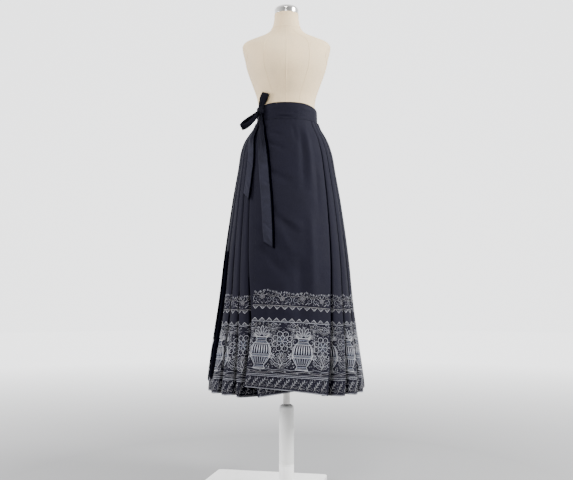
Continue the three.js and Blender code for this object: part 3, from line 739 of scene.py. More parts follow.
def layThreads(name, lines, surface, inside, finish="thread", crown=0.5):
    # Ribbons with a raised middle and sunk edges, where both ends of a stitch lie inside
    if not lines:
        return None
    places, travels, widths, colours, lengths = [np.concatenate(part) for part in zip(*lines)]
    stitchOf = np.repeat(np.arange(len(lines)), [len(line[0]) for line in lines])
    sideways = np.stack([-travels[:, 1], travels[:, 0]], -1) * widths[:, None] / 2
    rows = [(places + sideways, -0.15), (places, crown), (places - sideways, -0.15)]
    sheets = [surface(flat[:, 0], flat[:, 1], np.full(len(flat), rise)) for flat, rise in rows]
    points = np.stack(sheets, 1)
    keep = inside(places[:, 0], places[:, 1])
    joined = (stitchOf[:-1] == stitchOf[1:]) & keep[:-1] & keep[1:]
    first = np.nonzero(joined)[0]
    after = first + 1
    started = np.concatenate([[True], ~joined])[first]
    ended = np.concatenate([~joined, [True]])[after]
    left, middle, right = first * 3, first * 3 + 1, first * 3 + 2
    faces = np.concatenate([
        np.stack([middle, middle + 3, left + 3, left], -1),
        np.stack([right, right + 3, middle + 3, middle], -1),
        np.stack([left, left + 3, right + 3, right], -1)]).tolist()
    faces += np.stack([middle, left, right], -1)[started].tolist()
    faces += np.stack([middle + 3, right + 3, left + 3], -1)[ended].tolist()
    used = np.unique(np.concatenate([first, after]))
    renumber = np.full(len(places), -1)
    renumber[used] = np.arange(len(used))
    faces = [[int(renumber[number // 3]) * 3 + number % 3 for number in face] for face in faces]
    flat = np.repeat(np.stack([lengths, np.zeros(len(lengths)), stitchOf * 3.7], -1)[used], 3, axis=0)
    flat[:, 1] = np.tile([1, 0, -1], len(used)) * np.repeat(widths[used], 3) / 2
    tint = np.column_stack([np.repeat(colours[used], 3, axis=0), np.ones(3 * len(used))])
    return addPiece(name, points[used].reshape(-1, 3), faces, finish, {"weave": flat, "thread": tint})


def raisedFrom(locate):
    # A surface from a function that gives points for flat measures: it adds a rise along the normal
    def surface(x, y, rise):
        step = 0.8
        along = locate(x + step, y) - locate(x - step, y)
        up = locate(x, y + step) - locate(x, y - step)
        normal = np.cross(along, up)
        normal /= np.maximum(np.linalg.norm(normal, axis=-1, keepdims=True), 1e-9)
        return locate(x, y) + normal * rise[:, None]
    return surface


# The border's pattern, one repeat, from the hem up
border = {"period": 262.0, "hemLine": 1.7, "leavesTop": 46, "twoLines": (48.5, 53.5), "groundTop": 75,
          "mainTop": 220, "teeth": 11.0, "toothHeight": 9.5, "upperLine": 270, "flowers": 4,
          "scrollTops": (47, 43, 48, 51, 46, 41, 46, 43, 39, 43, 47, 42, 40, 45, 42), "top": 400.0}


def edgeLines(work):
    period = border["period"]
    for height, width, tone in ((border["hemLine"], 2.8, "silver"), (border["twoLines"][0], 1.9, "silver"),
                                (border["twoLines"][1], 1.9, "silver"), (border["mainTop"], 2.1, "silver"),
                                (border["upperLine"], 1.7, "warm"), (5.2, 0.8, "dim")):
        work.line([(-0.4, height), (period / 2, height), (period + 0.4, height)], width, tone)
    pitch = period / border["teeth"]
    for tooth in range(int(border["teeth"])):
        x = (tooth + 0.5) * pitch
        for level, way in ((border["mainTop"] + 1.5, 1), (border["upperLine"] - 1.5, -1)):
            tip = level + way * border["toothHeight"]
            work.line([(x - pitch * 0.42, level), (x, tip)], 1.6, "warm", "white")
            work.line([(x, tip), (x + pitch * 0.42, level)], 1.6, "white", "warm")
            for inset in (0.3, 0.56):
                half = pitch * 0.34 * (1 - inset)
                work.line([(x - half, level + way * inset * 9), (x + half, level + way * inset * 9)], 1.3, "grey")


def leafBorder(work):
    # Slanting sprays of leaves between the hem line and the double line
    pitch = border["period"] / 11
    for spray in range(11):
        x = spray * pitch
        work.line([(x, 8), (x + 6, 20), (x + 13, 32), (x + 18, 44)], 1.5, "warm", "silver")
        for px, py, size in ((x + 2.5, 13, 11), (x + 6.5, 21.5, 11), (x + 11, 30, 9)):
            work.leaf(px, py, 102, size, 2.3, "warm", "silver", bend=25)
            work.leaf(px, py, 6, size * 0.9, 2.0, "warm", "grey", bend=-25)
        work.dot(x + 17.5, 37, 2.8, "white")
        work.curl(x + 17, 16, 5.2, 200, 420, 1.3, "warm", "grey")
        work.dot(x + 1, 38, 2.2, "warm")


def waveGround(work):
    # Long crossing lines, as still water, with a few crests
    period = border["period"]
    xs = np.linspace(-1, period + 1, 66)
    for height, rise, waves, lag, tone in ((58.5, 1.8, 4, 0.0, "grey"), (63.5, 3.0, 3, 1.1, "warm"),
                                           (67.5, 2.4, 4, 2.4, "grey"), (72.5, 2.0, 5, 0.7, "silver")):
        work.line(np.stack([xs, height + rise * np.sin(twoPi * waves * xs / period + lag)], -1), 1.3, tone)
    for crest in range(7):
        work.curl(crest * period / 7 + 9, 62 + 3 * (crest % 2), 3.6, 180, -400, 1.3, "silver")


vase = {"height": (73, 77, 83, 95, 110, 126, 140, 151, 158, 166, 171),
        "half": (20, 17.5, 14, 23, 30, 32.5, 31, 24, 15.5, 14, 19)}


def vaseHalf(height):
    return np.interp(height, vase["height"], vase["half"])


def lotusVase(work, centre):
    # A fluted jar in tiers, with a lotus and two leaves
    heights = np.linspace(121, 149, 7)
    for share in np.linspace(-0.87, 0.87, 8):
        work.line(np.stack([centre + share * vaseHalf(heights), heights], -1), [2.4, 3.5, 3.8, 3.8, 3.7, 3.3, 2.2],
                  "ice", "white", "silver")
    for share in np.linspace(-0.84, 0.84, 7):
        low = np.linspace(90, 109, 5)
        work.line(np.stack([centre + share * vaseHalf(low), low], -1), 2.1, "silver", "ice")
        work.line(np.stack([centre + share * vaseHalf(low) * (1 - 0.012 * (low - 90)), low], -1), 1.4, "grey")
    outline = np.linspace(73, 171, 26)
    for side in (-1, 1):
        work.line(np.stack([centre + side * vaseHalf(outline), outline], -1), 2.2, "silver", "white", "silver")
        work.curl(centre + side * 27, 160, 8.5, 250 if side > 0 else -70, 300 * side, 2.0, "silver", "grey")
    for height, width, tone in (
            (73, 2.6, "white"), (77.5, 1.8, "silver"), (82, 1.8, "ice"), (88, 1.5, "silver"), (111, 2.2, "white"),
            (114.8, 1.5, "ice"), (118.2, 2.0, "silver"), (151.5, 2.0, "white"), (155.5, 1.5, "ice"),
            (160, 1.6, "silver"), (165, 1.6, "ice"), (171, 2.8, "white")):
        half = float(vaseHalf(height)) - 0.6
        work.line([(centre - half, height), (centre, height), (centre + half, height)], width, tone)
    for angle, length in zip(np.linspace(14, 166, 7), (21, 25, 28, 29, 28, 25, 21)):
        foot = math.radians(angle)
        work.petal(centre + 5 * math.cos(foot), 175 + 3 * math.sin(foot), angle, length, 8.4,
                   "silver", "white", "silver")
    for side in (-1, 1):
        for rib in range(5):
            angle, length = 90 - 66 * side + (rib - 2) * 13, 23 - abs(rib - 2) * 2
            work.leaf(centre + side * 13, 172, angle, length, 2.4, "warm", "silver")


def peonyStem(work, centre, height):
    # A full flower on a stem with paired leaves and side buds
    work.ring(centre, height, 8, 16, 32, 17, "silver", "white", "silver", start=67, opened=True)
    work.ring(centre, height, 6, 5.5, 17.5, 11.5, "ice", "white", "ice", opened=True)
    work.ring(centre, height, 5, 0.8, 6.0, 2.4, "white", "silver", start=60)
    stem = [(centre - 2, 76), (centre + 3, 92), (centre - 3, 108), (centre, height - 33)]
    work.line(stem, 2.0, "silver")
    for side in (-1, 1):
        for rise, length in ((80, 22), (97, 21), (112, 16)):
            foot = centre + side * 1.5
            work.petal(foot, rise, 90 - side * 58, length, 9.5, "warm", "silver", "warm", vein="silver")
            work.leaf(foot, rise + 7, 90 - side * 24, length * 0.7, 2.8, "silver", "grey", bend=side * 26)
        bud = centre + side * 29
        work.line([(centre, 86), (centre + side * 17, 93), (bud, 107)], 1.6, "silver")
        work.ring(bud, 114, 8, 2.5, 11, 3.6, "silver", "white")
        work.dot(bud, 114, 2.8, "grey")
        for rung in range(4):
            work.leaf(bud - side * (3 + 2 * rung), 101 - 4 * rung, 90 - side * 115, 9, 2.3, "silver", "grey")


def wisteria(work, x, top, low, lean):
    # A hanging string of small blossoms
    count = int((top - low) / 4.6)
    for drop in range(count):
        y = top - 4.6 * drop
        middle = x + lean * math.sin(2.2 * drop / count)
        spread = 5.6 * math.sin(math.pi * (drop + 1) / (count + 2)) ** 0.6
        work.dot(middle, y, 2.6, "white")
        work.dot(middle - spread, y + 1.6, 2.4, "silver" if drop % 2 else "white")
        work.dot(middle + spread, y + 1.6, 2.4, "white" if drop % 2 else "silver")


def cloudScroll(work, centre, height, side):
    # A knot of cloud curls with trailing ends
    for offset, rise, radius, tone in ((0, 0, 8.0, "silver"), (12.5, -3.5, 6.6, "grey"), (-11.5, -3, 6.0, "warm")):
        work.curl(centre + side * offset, height + rise, radius, 90 - side * 80, side * 470, 1.9, tone)
    for lower, reach, tone in ((8.5, 22, "silver"), (12, 17, "grey"), (15.5, 12, "warm")):
        work.line([(centre - side * reach, height - lower), (centre, height - lower - 1.4),
                   (centre + side * reach * 1.2, height - lower + 2.2)], [0.8, 1.8, 0.6], tone)


def scrollTop(x):
    # Height of the scroll band's uneven top above the upper line
    tops = border["scrollTops"]
    places = np.linspace(0, border["period"], len(tops) + 1)
    return np.interp(np.mod(np.asarray(x, float), border["period"]), places, [*tops, tops[0]])


def scrollBand(work):
    base = border["upperLine"] + 3
    pitch = border["period"] / border["flowers"]
    draw = random.Random(21)
    for place in np.arange(1.5, border["period"], 4.3):
        top = base + float(scrollTop(place))
        lean = draw.uniform(-42, 42)
        foot, length = top - 8 - draw.uniform(0, 2), draw.uniform(6, 9)
        work.leaf(place, foot, 90 - lean, length, 2.0, draw.choice(("warm", "grey", "grey")), "silver")
    for flower, raised, reach in ((0, 2, 9.5), (1, -3, 8.5), (2, 1, 10.0), (3, -4, 8.0)):
        centre = (flower + 0.5) * pitch
        rise = base + 0.5 * float(scrollTop(centre)) + raised
        work.ring(centre, rise, (6, 5, 7, 5)[flower], 2.5, reach, 6.0, "grey", "warm", "grey", opened=True)
        work.ring(centre, rise, 5, 0.6, 3.6, 1.6, "silver", "warm", start=54)
        for lean in (-64, -22, 22, 64):
            x, y = centre + reach * math.sin(math.radians(lean)), rise + reach * math.cos(math.radians(lean))
            work.leaf(x, y, 90 - lean, draw.uniform(6, 10), 2.4, "warm", "silver", bend=lean * 0.5)
        for side in (-1, 1):
            for aside, share, radius, start, sweep, width, tones in (
                    (22, 0.33, 9.0, -20, -430, 1.5, ("silver", "grey")), (20, 0.70, 6.4, 60, 400, 1.4, ("warm",)),
                    (30, 0.55, 4.8, 100, -380, 1.3, ("warm",))):
                work.curl(centre + side * aside, base + float(scrollTop(centre)) * share, radius,
                          90 + side * start, side * sweep, width, *tones)
            work.leaf(centre + side * 8, base + 3, 90 - side * 52, 12, 2.6, "warm", "silver", bend=side * 20)


def fillGround(work, covered, low, high, count, tones, seed, top=None):
    # Small sprigs, curls and seeds in the spaces that are still bare, always the same ones
    draw = random.Random(seed)
    period = border["period"]
    for _ in range(count):
        x, y = draw.uniform(0, period), draw.uniform(low, high)
        kind, angle, tone = draw.random(), draw.uniform(0, 360), draw.choice(tones)
        if top is not None and y > top(x):
            continue
        begun = len(work.lines)
        if kind < 0.3 and covered.free(x, y, 5.2):
            work.ring(x, y, 5, 0.8, 5.0, 2.3, tone, start=angle)
        elif kind < 0.62 and covered.free(x, y, 4.2):
            work.curl(x, y, 4.0, angle, draw.choice((-400, 400)), 1.4, tone)
        elif covered.free(x, y, 2.9):
            for lean in (-32, 32):
                work.leaf(x, y, angle + lean, 4.8, 1.9, tone)
        elif kind > 0.8 and covered.free(x, y, 1.7):
            work.dot(x, y, 1.8, tone)
        for points, _, widths, _, _ in work.lines[begun:]:
            covered.mark(points, widths)


def borderPattern():
    work = Needlework()
    edgeLines(work)
    leafBorder(work)
    waveGround(work)
    for centre in (40, 171):
        lotusVase(work, centre)
    peonyStem(work, 105.5, 160)
    peonyStem(work, 236.5, 148)
    for x, low, lean in ((74, 132, 4), (138, 128, -4), (204, 124, 4), (7, 126, -3)):
        wisteria(work, x, 196, low, lean)
    for centre, height, side in ((74, 209, 1), (137, 209, -1), (208, 210, 1), (5, 209, -1), (240, 203, 1)):
        cloudScroll(work, centre, height, side)
    scrollBand(work)
    covered = Covered(border["period"], 345)
    for points, _, widths, _, _ in work.lines:
        covered.mark(points, widths)
    fillGround(work, covered, 78, 216, 2600, ("silver", "warm", "grey", "grey", "white"), 4)
    base = border["upperLine"] + 3
    fillGround(work, covered, base, base + 60, 1300, ("warm", "grey", "dim"), 9,
               top=lambda x: base + float(scrollTop(x)) - 3)
    fillGround(work, covered, 7, 45, 700, ("grey", "warm", "dim"), 12)
    return work.lines


pattern = borderPattern()
extents = np.array([(line[0][:, 0].min() - 6, line[0][:, 0].max() + 6) for line in pattern])
print("border pattern drawn:", len(pattern), "lines")


def patternWindow(low, high, highest=border["top"]):
    # The pattern's lines between two places along the cloth, repeated as often as it takes
    lines = []
    period = border["period"]
    for repeat in range(math.floor(low / period) - 1, math.floor(high / period) + 2):
        shift = repeat * period
        for line, (start, end) in zip(pattern, extents):
            if start + shift < high and end + shift > low and line[0][:, 1].min() < highest:
                lines.append((line[0] + [shift, 0], *line[1:]))
    return lines


def panelLocate(panel, creases, halfTurn):
    # Flat pattern measures to points on a panel; the lines rise towards the free edge as the cloth does
    def locate(x, y):
        share = x / panelWidth
        across = 1 - share if panel["facing"] > 0 else share
        lifted = cloth["cornerLift"] * (1 - (1 - np.clip(across, 0, 1)) ** cornerCurve) - panel["lower"]
        z = cloth["hem"] + y + lifted * (0.5 + 0.5 * np.exp(-y / 40))
        down = (cloth["seam"] - z) / (cloth["seam"] - cloth["hem"] - lifted)
        turn, height, outward = panelPlace(panel, across, down, math.pi / 2, creases, halfTurn)
        return ovalPoint(skirtSections, turn, height, outward + cloth["wall"] / 2)
    return locate


def faceLocate(rows, number, mirrored, halfTurn):
    # Measures from a pleat's outermost line, back along its face, to points; and which of them show
    def places(reach, y):
        share = 1 - y / (pleatTop - cloth["hem"])
        edge, depth, roll, spacing, scale = pleatMeasures(rows[number], share)
        previous = foldEdge(rows[number - 1], share)
        quarter = spacing * math.pi / 4
        angle = reach / (spacing / 2)
        onRoll = reach < quarter
        turn = np.where(onRoll, edge - roll + roll * np.cos(angle), edge - roll - (reach - quarter) / scale)
        top = topLayer(rows[number], share)
        layer, x = faceLayer(turn, previous, edge, depth, top)
        raised = 0.5 + 0.5 * np.sin(angle)
        layer = np.where(onRoll, 1 + (top - 1) * raised, layer)
        lower = rows[number]["lower"] * np.where(onRoll, raised, x)
        return turn, layer, lower, share, previous

    def locate(reach, y):
        turn, layer, lower, share, _ = places(reach, y)
        return pleatPoints(-turn if mirrored else turn, layer, lower, share, halfTurn)

    def shows(reach, y):
        turn, _, _, _, previous = places(reach, y)
        return (reach > 0.6) & (turn > previous + 0.15) & (y > 0.2)

    def shade(reach, y):
        turn, _, _, share, _ = places(reach, y)
        return 1 - 0.93 * footShade(rows, number, turn, share)
    return locate, shows, shade


def valleyLocate(halfTurn):
    # The same for the flat strip between the two sets of pleats
    def turnAt(reach, y):
        share = 1 - y / (pleatTop - cloth["hem"])
        level = pleatTop + (cloth["hem"] - pleatTop) * share
        start = foldEdge(pleats["facingOn"][-1], share)
        return start + reach / millimetresPerDegree(start, level), start, share

    def locate(reach, y):
        turn, _, share = turnAt(reach, y)
        return pleatPoints(turn, 0, 0, share, halfTurn)

    def shows(reach, y):
        turn, start, share = turnAt(reach, y)
        return (turn > start + 0.3) & (turn < -foldEdge(pleats["facingBack"][-1], share) - 0.3) & (y > 0.2)
    return locate, shows, lambda reach, y: 1 + 0 * reach


def pleatThreads(name, halfTurn, strengths):
    # Embroidery of all the faces of one pleated side, each cut off where the next fold covers it.
    # Strengths dim the thread of the faces that lie in shade, up to a height above the hem.
    lines, owners, faceList = [], [], []

    def addFace(locate, shows, shade, outer, sign, strength, highest=border["top"]):
        # The pattern runs on from the face's outermost line, at outer, in the direction of the sign
        far = outer + sign * pleats["shown"]
        window = patternWindow(min(outer, far), max(outer, far))
        window = [line for line in window if line[0][:, 1].max() < highest]
        for places, travel, widths, colours, lengths in window:
            reach = np.maximum((places[:, 0] - outer) * sign, 0)
            dimmed = colours * strength * shade(reach, places[:, 1])[:, None]
            lines.append((places, travel, widths, dimmed, lengths))
        owners.extend([len(faceList)] * sum(len(line[0]) for line in window))
        faceList.append((locate, shows, outer, sign))

    for mirrored, rows in ((False, pleatRows("facingOn", halfTurn)), (True, pleats["facingBack"])):
        for number in range(1, len(rows)):
            outer = number * pleats["take"] + (pleats["facingBackFrom"] if mirrored else 0)
            face = faceLocate(rows, number, mirrored, halfTurn)
            addFace(*face, outer, 1 if mirrored else -1, *strengths.get((mirrored, number), (1,)))
    addFace(*valleyLocate(halfTurn), pleats["middleFrom"], 1, *strengths.get("valley", (0.8,)))
    owners = np.array(owners)

    def surface(x, y, rise):
        points = np.zeros((len(x), 3))
        for number, (locate, _, outer, sign) in enumerate(faceList):
            mine = owners == number
            raised = raisedFrom(lambda a, b: locate(sign * (a - outer), b))
            points[mine] = raised(x[mine], y[mine], rise[mine] + cloth["wall"] / 2)
        return points

    def inside(x, y):
        keep = np.zeros(len(x), bool)
        for number, (_, shows, outer, sign) in enumerate(faceList):
            mine = owners == number
            keep[mine] = shows((x[mine] - outer) * sign, y[mine])
        return keep
    return layThreads(name, lines, surface, inside)


# Painted shade on the embroidery: strength of the thread for each turn of the piece, by whether the folds face
# back and the fold's number
faceShadeStrengths = {0: {(False, 1): (0.5,), (False, 2): (0.85,), (False, 3): (0.8,), (False, 4): (0.8,)},
                 180: {(True, 4): (0.8, 47), "valley": (0.6, 47)}}


def withinPanel(x, y):
    return (x > 0.8) & (x < panelWidth - 0.3) & (y > 0.2)


for halfTurn, outerName, pleatName, innerName, creases in skirtPieces:
    outer = panelLocate(panels["outer"], creases, halfTurn)
    layThreads(outerName + "_embroidery", patternWindow(0, panelWidth), raisedFrom(outer), withinPanel)
    inner = panelLocate(panels["inner"], innerCreases, halfTurn)
    # only the lowest rows of the inner panel's border can be seen
    layThreads(innerName + "_embroidery", patternWindow(0, panelWidth, 60), raisedFrom(inner), withinPanel)
    pleatThreads(pleatName + "_embroidery", halfTurn, faceShadeStrengths[halfTurn])
print("embroidery laid")


# Waistband: one strip round the waist that laps over itself at the front
band = {"wall": 3.0, "clear": 0.4, "gap": 0.3, "start": -52.5, "end": 412.5, "innerFrom": 82.5, "outerTo": 60,
        "perDegree": 1.66, "height": 56, "stitchRows": (3.5, 52.5), "stitchedTo": 305}
bandCreases = [
    (-49, 1263, -27, 1262, -1.0, 2.2), (-49, 1254, -24, 1256, -0.9, 2.2), (-24, 1250, 18, 1247, -0.7, 3.0),
    (-18, 1256, 14, 1253, 0.8, 3.2), (8, 1262, 34, 1256, -0.5, 4.0), (20, 1249, 46, 1252, -0.7, 2.6),
    (-40, 1282, -14, 1278, 0.6, 4.0), (28, 1278, 58, 1272, 0.6, 5.0), (95, 1262, 150, 1257, 0.6, 3.5),
    (140, 1268, 205, 1263, 0.5, 3.5), (190, 1253, 245, 1258, 0.6, 3.0), (230, 1270, 290, 1266, 0.7, 4.5),
]


def bandPoints(turn, z, rise):
    lowered = smooth((turn - band["outerTo"]) / (band["innerFrom"] - band["outerTo"]))
    outerRound = band["clear"] + band["wall"] + band["gap"]
    inside = outerRound + (band["clear"] - outerRound) * lowered
    top, low = bandTopAt(turn), seamAt(turn) + band["gap"]
    pillow = 0.35 * np.sin(math.pi * np.clip((z - low) / (top - low), 0, 1)) ** 0.5
    hidden = smooth((turn - 300) / 8)
    worn = creaseHeight(bandCreases, turn, z) * smooth((z - low) / 6) * smooth((top - z) / 6) * (1 - hidden)
    outward = inside + band["wall"] / 2 + (worn + pillow) * 0.8 * (1 - hidden) + ease(turn, z)
    return ovalPoint(formSections, turn, z, outward + rise)


def bandSpan(turn, share):
    low = seamAt(turn) + band["gap"]
    return low + (bandTopAt(turn) - low) * share


turns = np.linspace(band["start"], band["end"], 310)[None, :]
shares = np.linspace(1, 0, 21)[:, None]
bandMiddle = bandPoints(turns, bandSpan(turns, shares), 0)
bandMeasure = np.stack(np.broadcast_arrays(turns * band["perDegree"], shares * band["height"]), -1)
waistband = shell("waistband_cloth", bandMiddle, band["wall"] - 0.2, bandMeasure, round=0.8)
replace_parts(waistband, "waistband")


# Sewing: rows of short stitches
sewn = {"pitch": 3.4, "length": 2.5, "width": 0.7, "crown": 0.28, "inset": 6.0, "panelFrom": 322, "panelTo": 890}


def sewRow(work, start, end, placeAt):
    # Stitches from start to end of a row; placeAt gives the flat measures of a place on it
    for begin in np.arange(start, end - sewn["length"], sewn["pitch"]):
        work.line([placeAt(begin), placeAt(begin + sewn["length"])], sewn["width"], "dim")


def laySewing(name, work, surface, inside):
    return layThreads(name, work.lines, surface, inside, "sewing", crown=sewn["crown"])


def bandSurface(x, y, rise):
    turn = x / band["perDegree"]
    return bandPoints(turn, bandSpan(turn, y / band["height"]), rise + band["wall"] / 2 - 0.1)


bandWork = Needlework()
for height in band["stitchRows"]:
    sewRow(bandWork, band["start"] * band["perDegree"] + 4, band["end"] * band["perDegree"] - 4,
           lambda place: (place, height))
laySewing("waistband_stitching", bandWork, bandSurface, lambda x, y: x / band["perDegree"] < band["stitchedTo"])


def panelStitches(name, panel, creases, halfTurn):
    # One row beside the free edge, from the border up
    work = Needlework()
    free = sewn["inset"] if panel["facing"] > 0 else panelWidth - sewn["inset"]
    sewRow(work, sewn["panelFrom"], sewn["panelTo"], lambda place: (free, place))
    return laySewing(name, work, raisedFrom(panelLocate(panel, creases, halfTurn)), lambda x, y: y > 0)


for halfTurn, outerName, pleatName, innerName, creases in skirtPieces:
    panelStitches(outerName + "_stitching", panels["outer"], creases, halfTurn)
    panelStitches(innerName + "_stitching", panels["inner"], innerCreases, halfTurn)
print("waistband and stitching made")


# Ties: a bow with two loops and two tails
knot = {"turn": -52, "z": 1271, "halfWidth": 15, "halfHeight": 16, "halfDepth": 8.5}
tieWall = 1.5
tieHalf = 16  # half width of the tie


def knotFrame():
    # Directions outward and along the waist at the knot, and its centre
    angle = math.radians(knot["turn"])
    side, front = [float(columnAt(formSections, column, knot["z"])) for column in ("side", "front")]
    out = np.array([math.sin(angle) / side, -math.cos(angle) / front, 0])
    out /= np.linalg.norm(out)
    outward = band["clear"] + 2 * band["wall"] + 2 * band["gap"] + knot["halfDepth"]
    return out, np.array([-out[1], out[0], 0]), ovalPoint(formSections, knot["turn"], knot["z"], outward)


def knotPiece():
    # A rounded lump of cloth wrapped round itself, with slanting folds
    out, along, centre = knotFrame()
    rings, count = 44, 72
    tilt = np.linspace(-math.pi / 2 + 0.04, math.pi / 2 - 0.04, rings)[:, None]
    spin = np.linspace(0, twoPi, count, endpoint=False)[None, :]

    def blunt(value):
        return np.sign(value) * np.abs(value) ** 0.75

    level, up = blunt(np.cos(tilt)), blunt(np.sin(tilt)) + 0 * spin
    wide, deep = level * blunt(np.cos(spin)), level * blunt(np.sin(spin))
    wraps = 1 - np.abs(np.sin(math.pi * (1.5 * wide + 0.6 * up + 0.3)))
    folds = 0.03 * np.sin(twoPi * (0.7 * up - 0.9 * wide) + 1) - 0.15 * wraps ** 3
    scale = (0.965 + folds)[..., None]
    points = (centre + up[..., None] * scale * knot["halfHeight"] * np.array([0, 0, 1])
              + wide[..., None] * scale * knot["halfWidth"] * along
              + deep[..., None] * scale * knot["halfDepth"] * out)
    measure = np.stack([wide * knot["halfWidth"], up * knot["halfHeight"], np.zeros_like(up)], -1)
    piece = addPiece("bow_knot_cloth", points.reshape(-1, 3), ringFaces(rings, count), "shadedBowCloth",
                     {"weave": measure.reshape(-1, 3)})
    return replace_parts(piece, "bow_knot")


loops = {
    "bow_loop_up": {"length": 63, "lean": 30, "forward": 0.3, "open": 3.4, "widthRoot": 15, "widthTip": 27,
                    "direction": (0.93, -0.3, -0.62), "skip": 0.1, "bend": -2.5},
    "bow_loop_down": {"length": 88, "lean": -143, "forward": 0.34, "open": 7.2, "widthRoot": 15, "widthTip": 26,
                      "direction": (-0.39, -0.83, 0.36), "skip": 0.09, "bend": -2.0},
}


def loopPiece(name):
    shape = loops[name]
    out, _, centre = knotFrame()
    lean = math.radians(shape["lean"])
    axis = np.array([math.sin(lean), 0, math.cos(lean)]) + out * shape["forward"]
    axis /= np.linalg.norm(axis)
    wide = np.array(shape["direction"]) - axis * np.dot(shape["direction"], axis)
    wide /= np.linalg.norm(wide)
    opening = np.cross(axis, wide)
    travel = np.linspace(shape["skip"], 1 - shape["skip"], 90)
    reach = np.sin(math.pi * travel) ** 2
    swinging = np.sin(twoPi * travel) * (0.5 + reach)
    across = np.linspace(-1, 1, 15)[:, None]
    half = (shape["widthRoot"] + (shape["widthTip"] - shape["widthRoot"]) * reach) / 2
    half = half * (1 + 0.1 * reach * np.sin(travel * 23 + across * 1.6))
    gather = 0.9 * np.cos(across * 7.5 + travel * 3) * (1 - reach) ** 0.7
    gather = gather + 1.1 * reach * np.cos(across * 3 + travel * 9)
    middle = centre + reach[:, None] * shape["length"] * axis + swinging[:, None] * shape["open"] * opening
    middle = middle + (np.sin(math.pi * reach) * shape["bend"])[:, None] * wide
    points = middle[None] + (across * half)[..., None] * wide
    points = points + (gather * np.sign(0.5 - travel))[..., None] * opening
    length = np.concatenate([[0], np.cumsum(np.linalg.norm(np.diff(middle, axis=0), axis=1))])
    measure = np.stack(np.broadcast_arrays(length[None, :], across * half), -1)
    piece = shell(name + "_cloth", points, tieWall, measure, round=0.9, finish="shadedBowCloth")
    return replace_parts(piece, name), float(length[-1])


# Each crease of a tail: place and across at its start, the same at its end, depth, half width
tails = {
    "tie_tail_long": {
        "turn": (-47.5, -47.4, -46.5, -40.5, -30.8, -25.3, -22.3, -19.5, -16.7, -15),
        "z": (1264, 1250, 1234, 1209, 1154, 1084, 1030, 975, 890, 817),
        "half": (5, 8, 11, 14, 15.5, 16, 16, 16, 16, 16),
        "lift": (10.5, 10, 8.5, 7, 6.5, 7, 7.5, 8, 9, 9.5),
        "tilt": 2.2,
        "creases": [(0.16, -0.3, 0.33, 0.1, -0.9, 1.6), (0.02, 0.3, 0.3, 0.25, -1.0, 2.2),
                    (0.05, -0.35, 0.28, -0.3, 0.9, 2.0), (0.52, -0.6, 0.56, 0.7, -0.7, 3.0),
                    (0.66, 0.6, 0.74, -0.4, 0.6, 4.0), (0.84, -0.7, 0.9, 0.6, -0.8, 3.0),
                    (0.93, -0.4, 0.98, 0.5, 0.7, 3.0)],
    },
    "tie_tail_short": {
        "turn": (-55, -57.5, -58.5, -56.5, -46.7, -44.5, -44.3),
        "z": (1264, 1248, 1230, 1199, 1126, 1043, 980),
        "half": (4, 8, 11, 14, 15, 15, 15),
        "lift": (5, 4, 4, 4, 5, 5.5, 6),
        "tilt": 0.0,
        "creases": [(0.03, 0.25, 0.4, 0.2, -0.9, 2.2), (0.06, -0.3, 0.36, -0.35, 0.8, 2.0),
                    (0.58, -0.6, 0.66, 0.6, -0.7, 3.0), (0.84, -0.5, 0.92, 0.4, 0.7, 3.0)],
    },
}
tailFinish = {"slant": 12, "creaseStrength": 2.4, "stitchRows": (-0.84, 0.5), "stitchedFrom": 24}


def tailPoints(shape, place, across, rise):
    # Place is the share of the tail's length, and across is -1 to 1
    stations = np.arange(len(shape["z"]), dtype=float)
    lengths = np.concatenate([[0], np.cumsum(np.abs(np.diff(shape["z"])))])
    table = {"z": lengths / lengths[-1], "height": shape["z"]}
    table.update({key: shape[key] for key in ("turn", "half", "lift")})
    turn, half, lift, z = [columnAt(table, key, place) for key in ("turn", "half", "lift", "height")]
    slant = tailFinish["slant"] * smooth((place - 1 + 1.2 / len(stations)) * len(stations) / 1.2)
    centre = ovalPoint(skirtSections, turn, z, lift)
    halfTurn = np.degrees(half / np.hypot(centre[..., 0], centre[..., 1]))
    worn = 0.5 * (1 - across ** 2) + 0.9 * smooth((across - 0.55) / 0.45) * smooth(place * 5)
    worn = worn - shape["tilt"] * across * smooth((place - 0.25) / 0.2) * smooth((1.02 - place) / 0.12)
    for startPlace, startAcross, endPlace, endAcross, depth, width in shape["creases"]:
        runX, runY = (endPlace - startPlace) * lengths[-1], (endAcross - startAcross) * tieHalf
        x, y = (place - startPlace) * lengths[-1], (across - startAcross) * tieHalf
        run = math.hypot(runX, runY)
        along = (x * runX + y * runY) / run ** 2
        off = (x * runY - y * runX) / run
        fade = smooth((along + 0.2) / 0.4) * smooth((1.2 - along) / 0.4)
        worn = worn + tailFinish["creaseStrength"] * depth * np.exp(-(off / width) ** 2) * fade
    turn = turn + halfTurn * across
    return ovalPoint(skirtSections, turn, z - slant * across, lift + worn + rise + swing(turn, z))


def tailPiece(name):
    shape = tails[name]
    place = np.linspace(0, 1, 110)[:, None]
    across = np.linspace(-1, 1, 17)[None, :]
    points = tailPoints(shape, place, across, 0)
    drop = shape["z"][0] - shape["z"][-1]
    measure = np.stack(np.broadcast_arrays(across * tieHalf, (1 - place) * drop), -1)
    under = smooth((across - 0.5) / 0.12)  # the edge that turns under lies in its own shade
    under = np.maximum(under, 0.6 * (1 - smooth((place - 0.2) / 0.2)))  # and so does the part below the knot
    piece = shell(name + "_cloth", points, tieWall, measure, round=0.9, fold=under, finish="litTieCloth")
    work = Needlework()
    for side in tailFinish["stitchRows"]:
        sewRow(work, tailFinish["stitchedFrom"], drop - 5, lambda place: (side * tieHalf, -place))

    def surface(x, y, rise):
        return tailPoints(shape, -y / drop, x / tieHalf, rise + tieWall / 2)
    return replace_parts(piece, name), laySewing(name + "_stitching", work, surface, lambda x, y: y < 0), drop


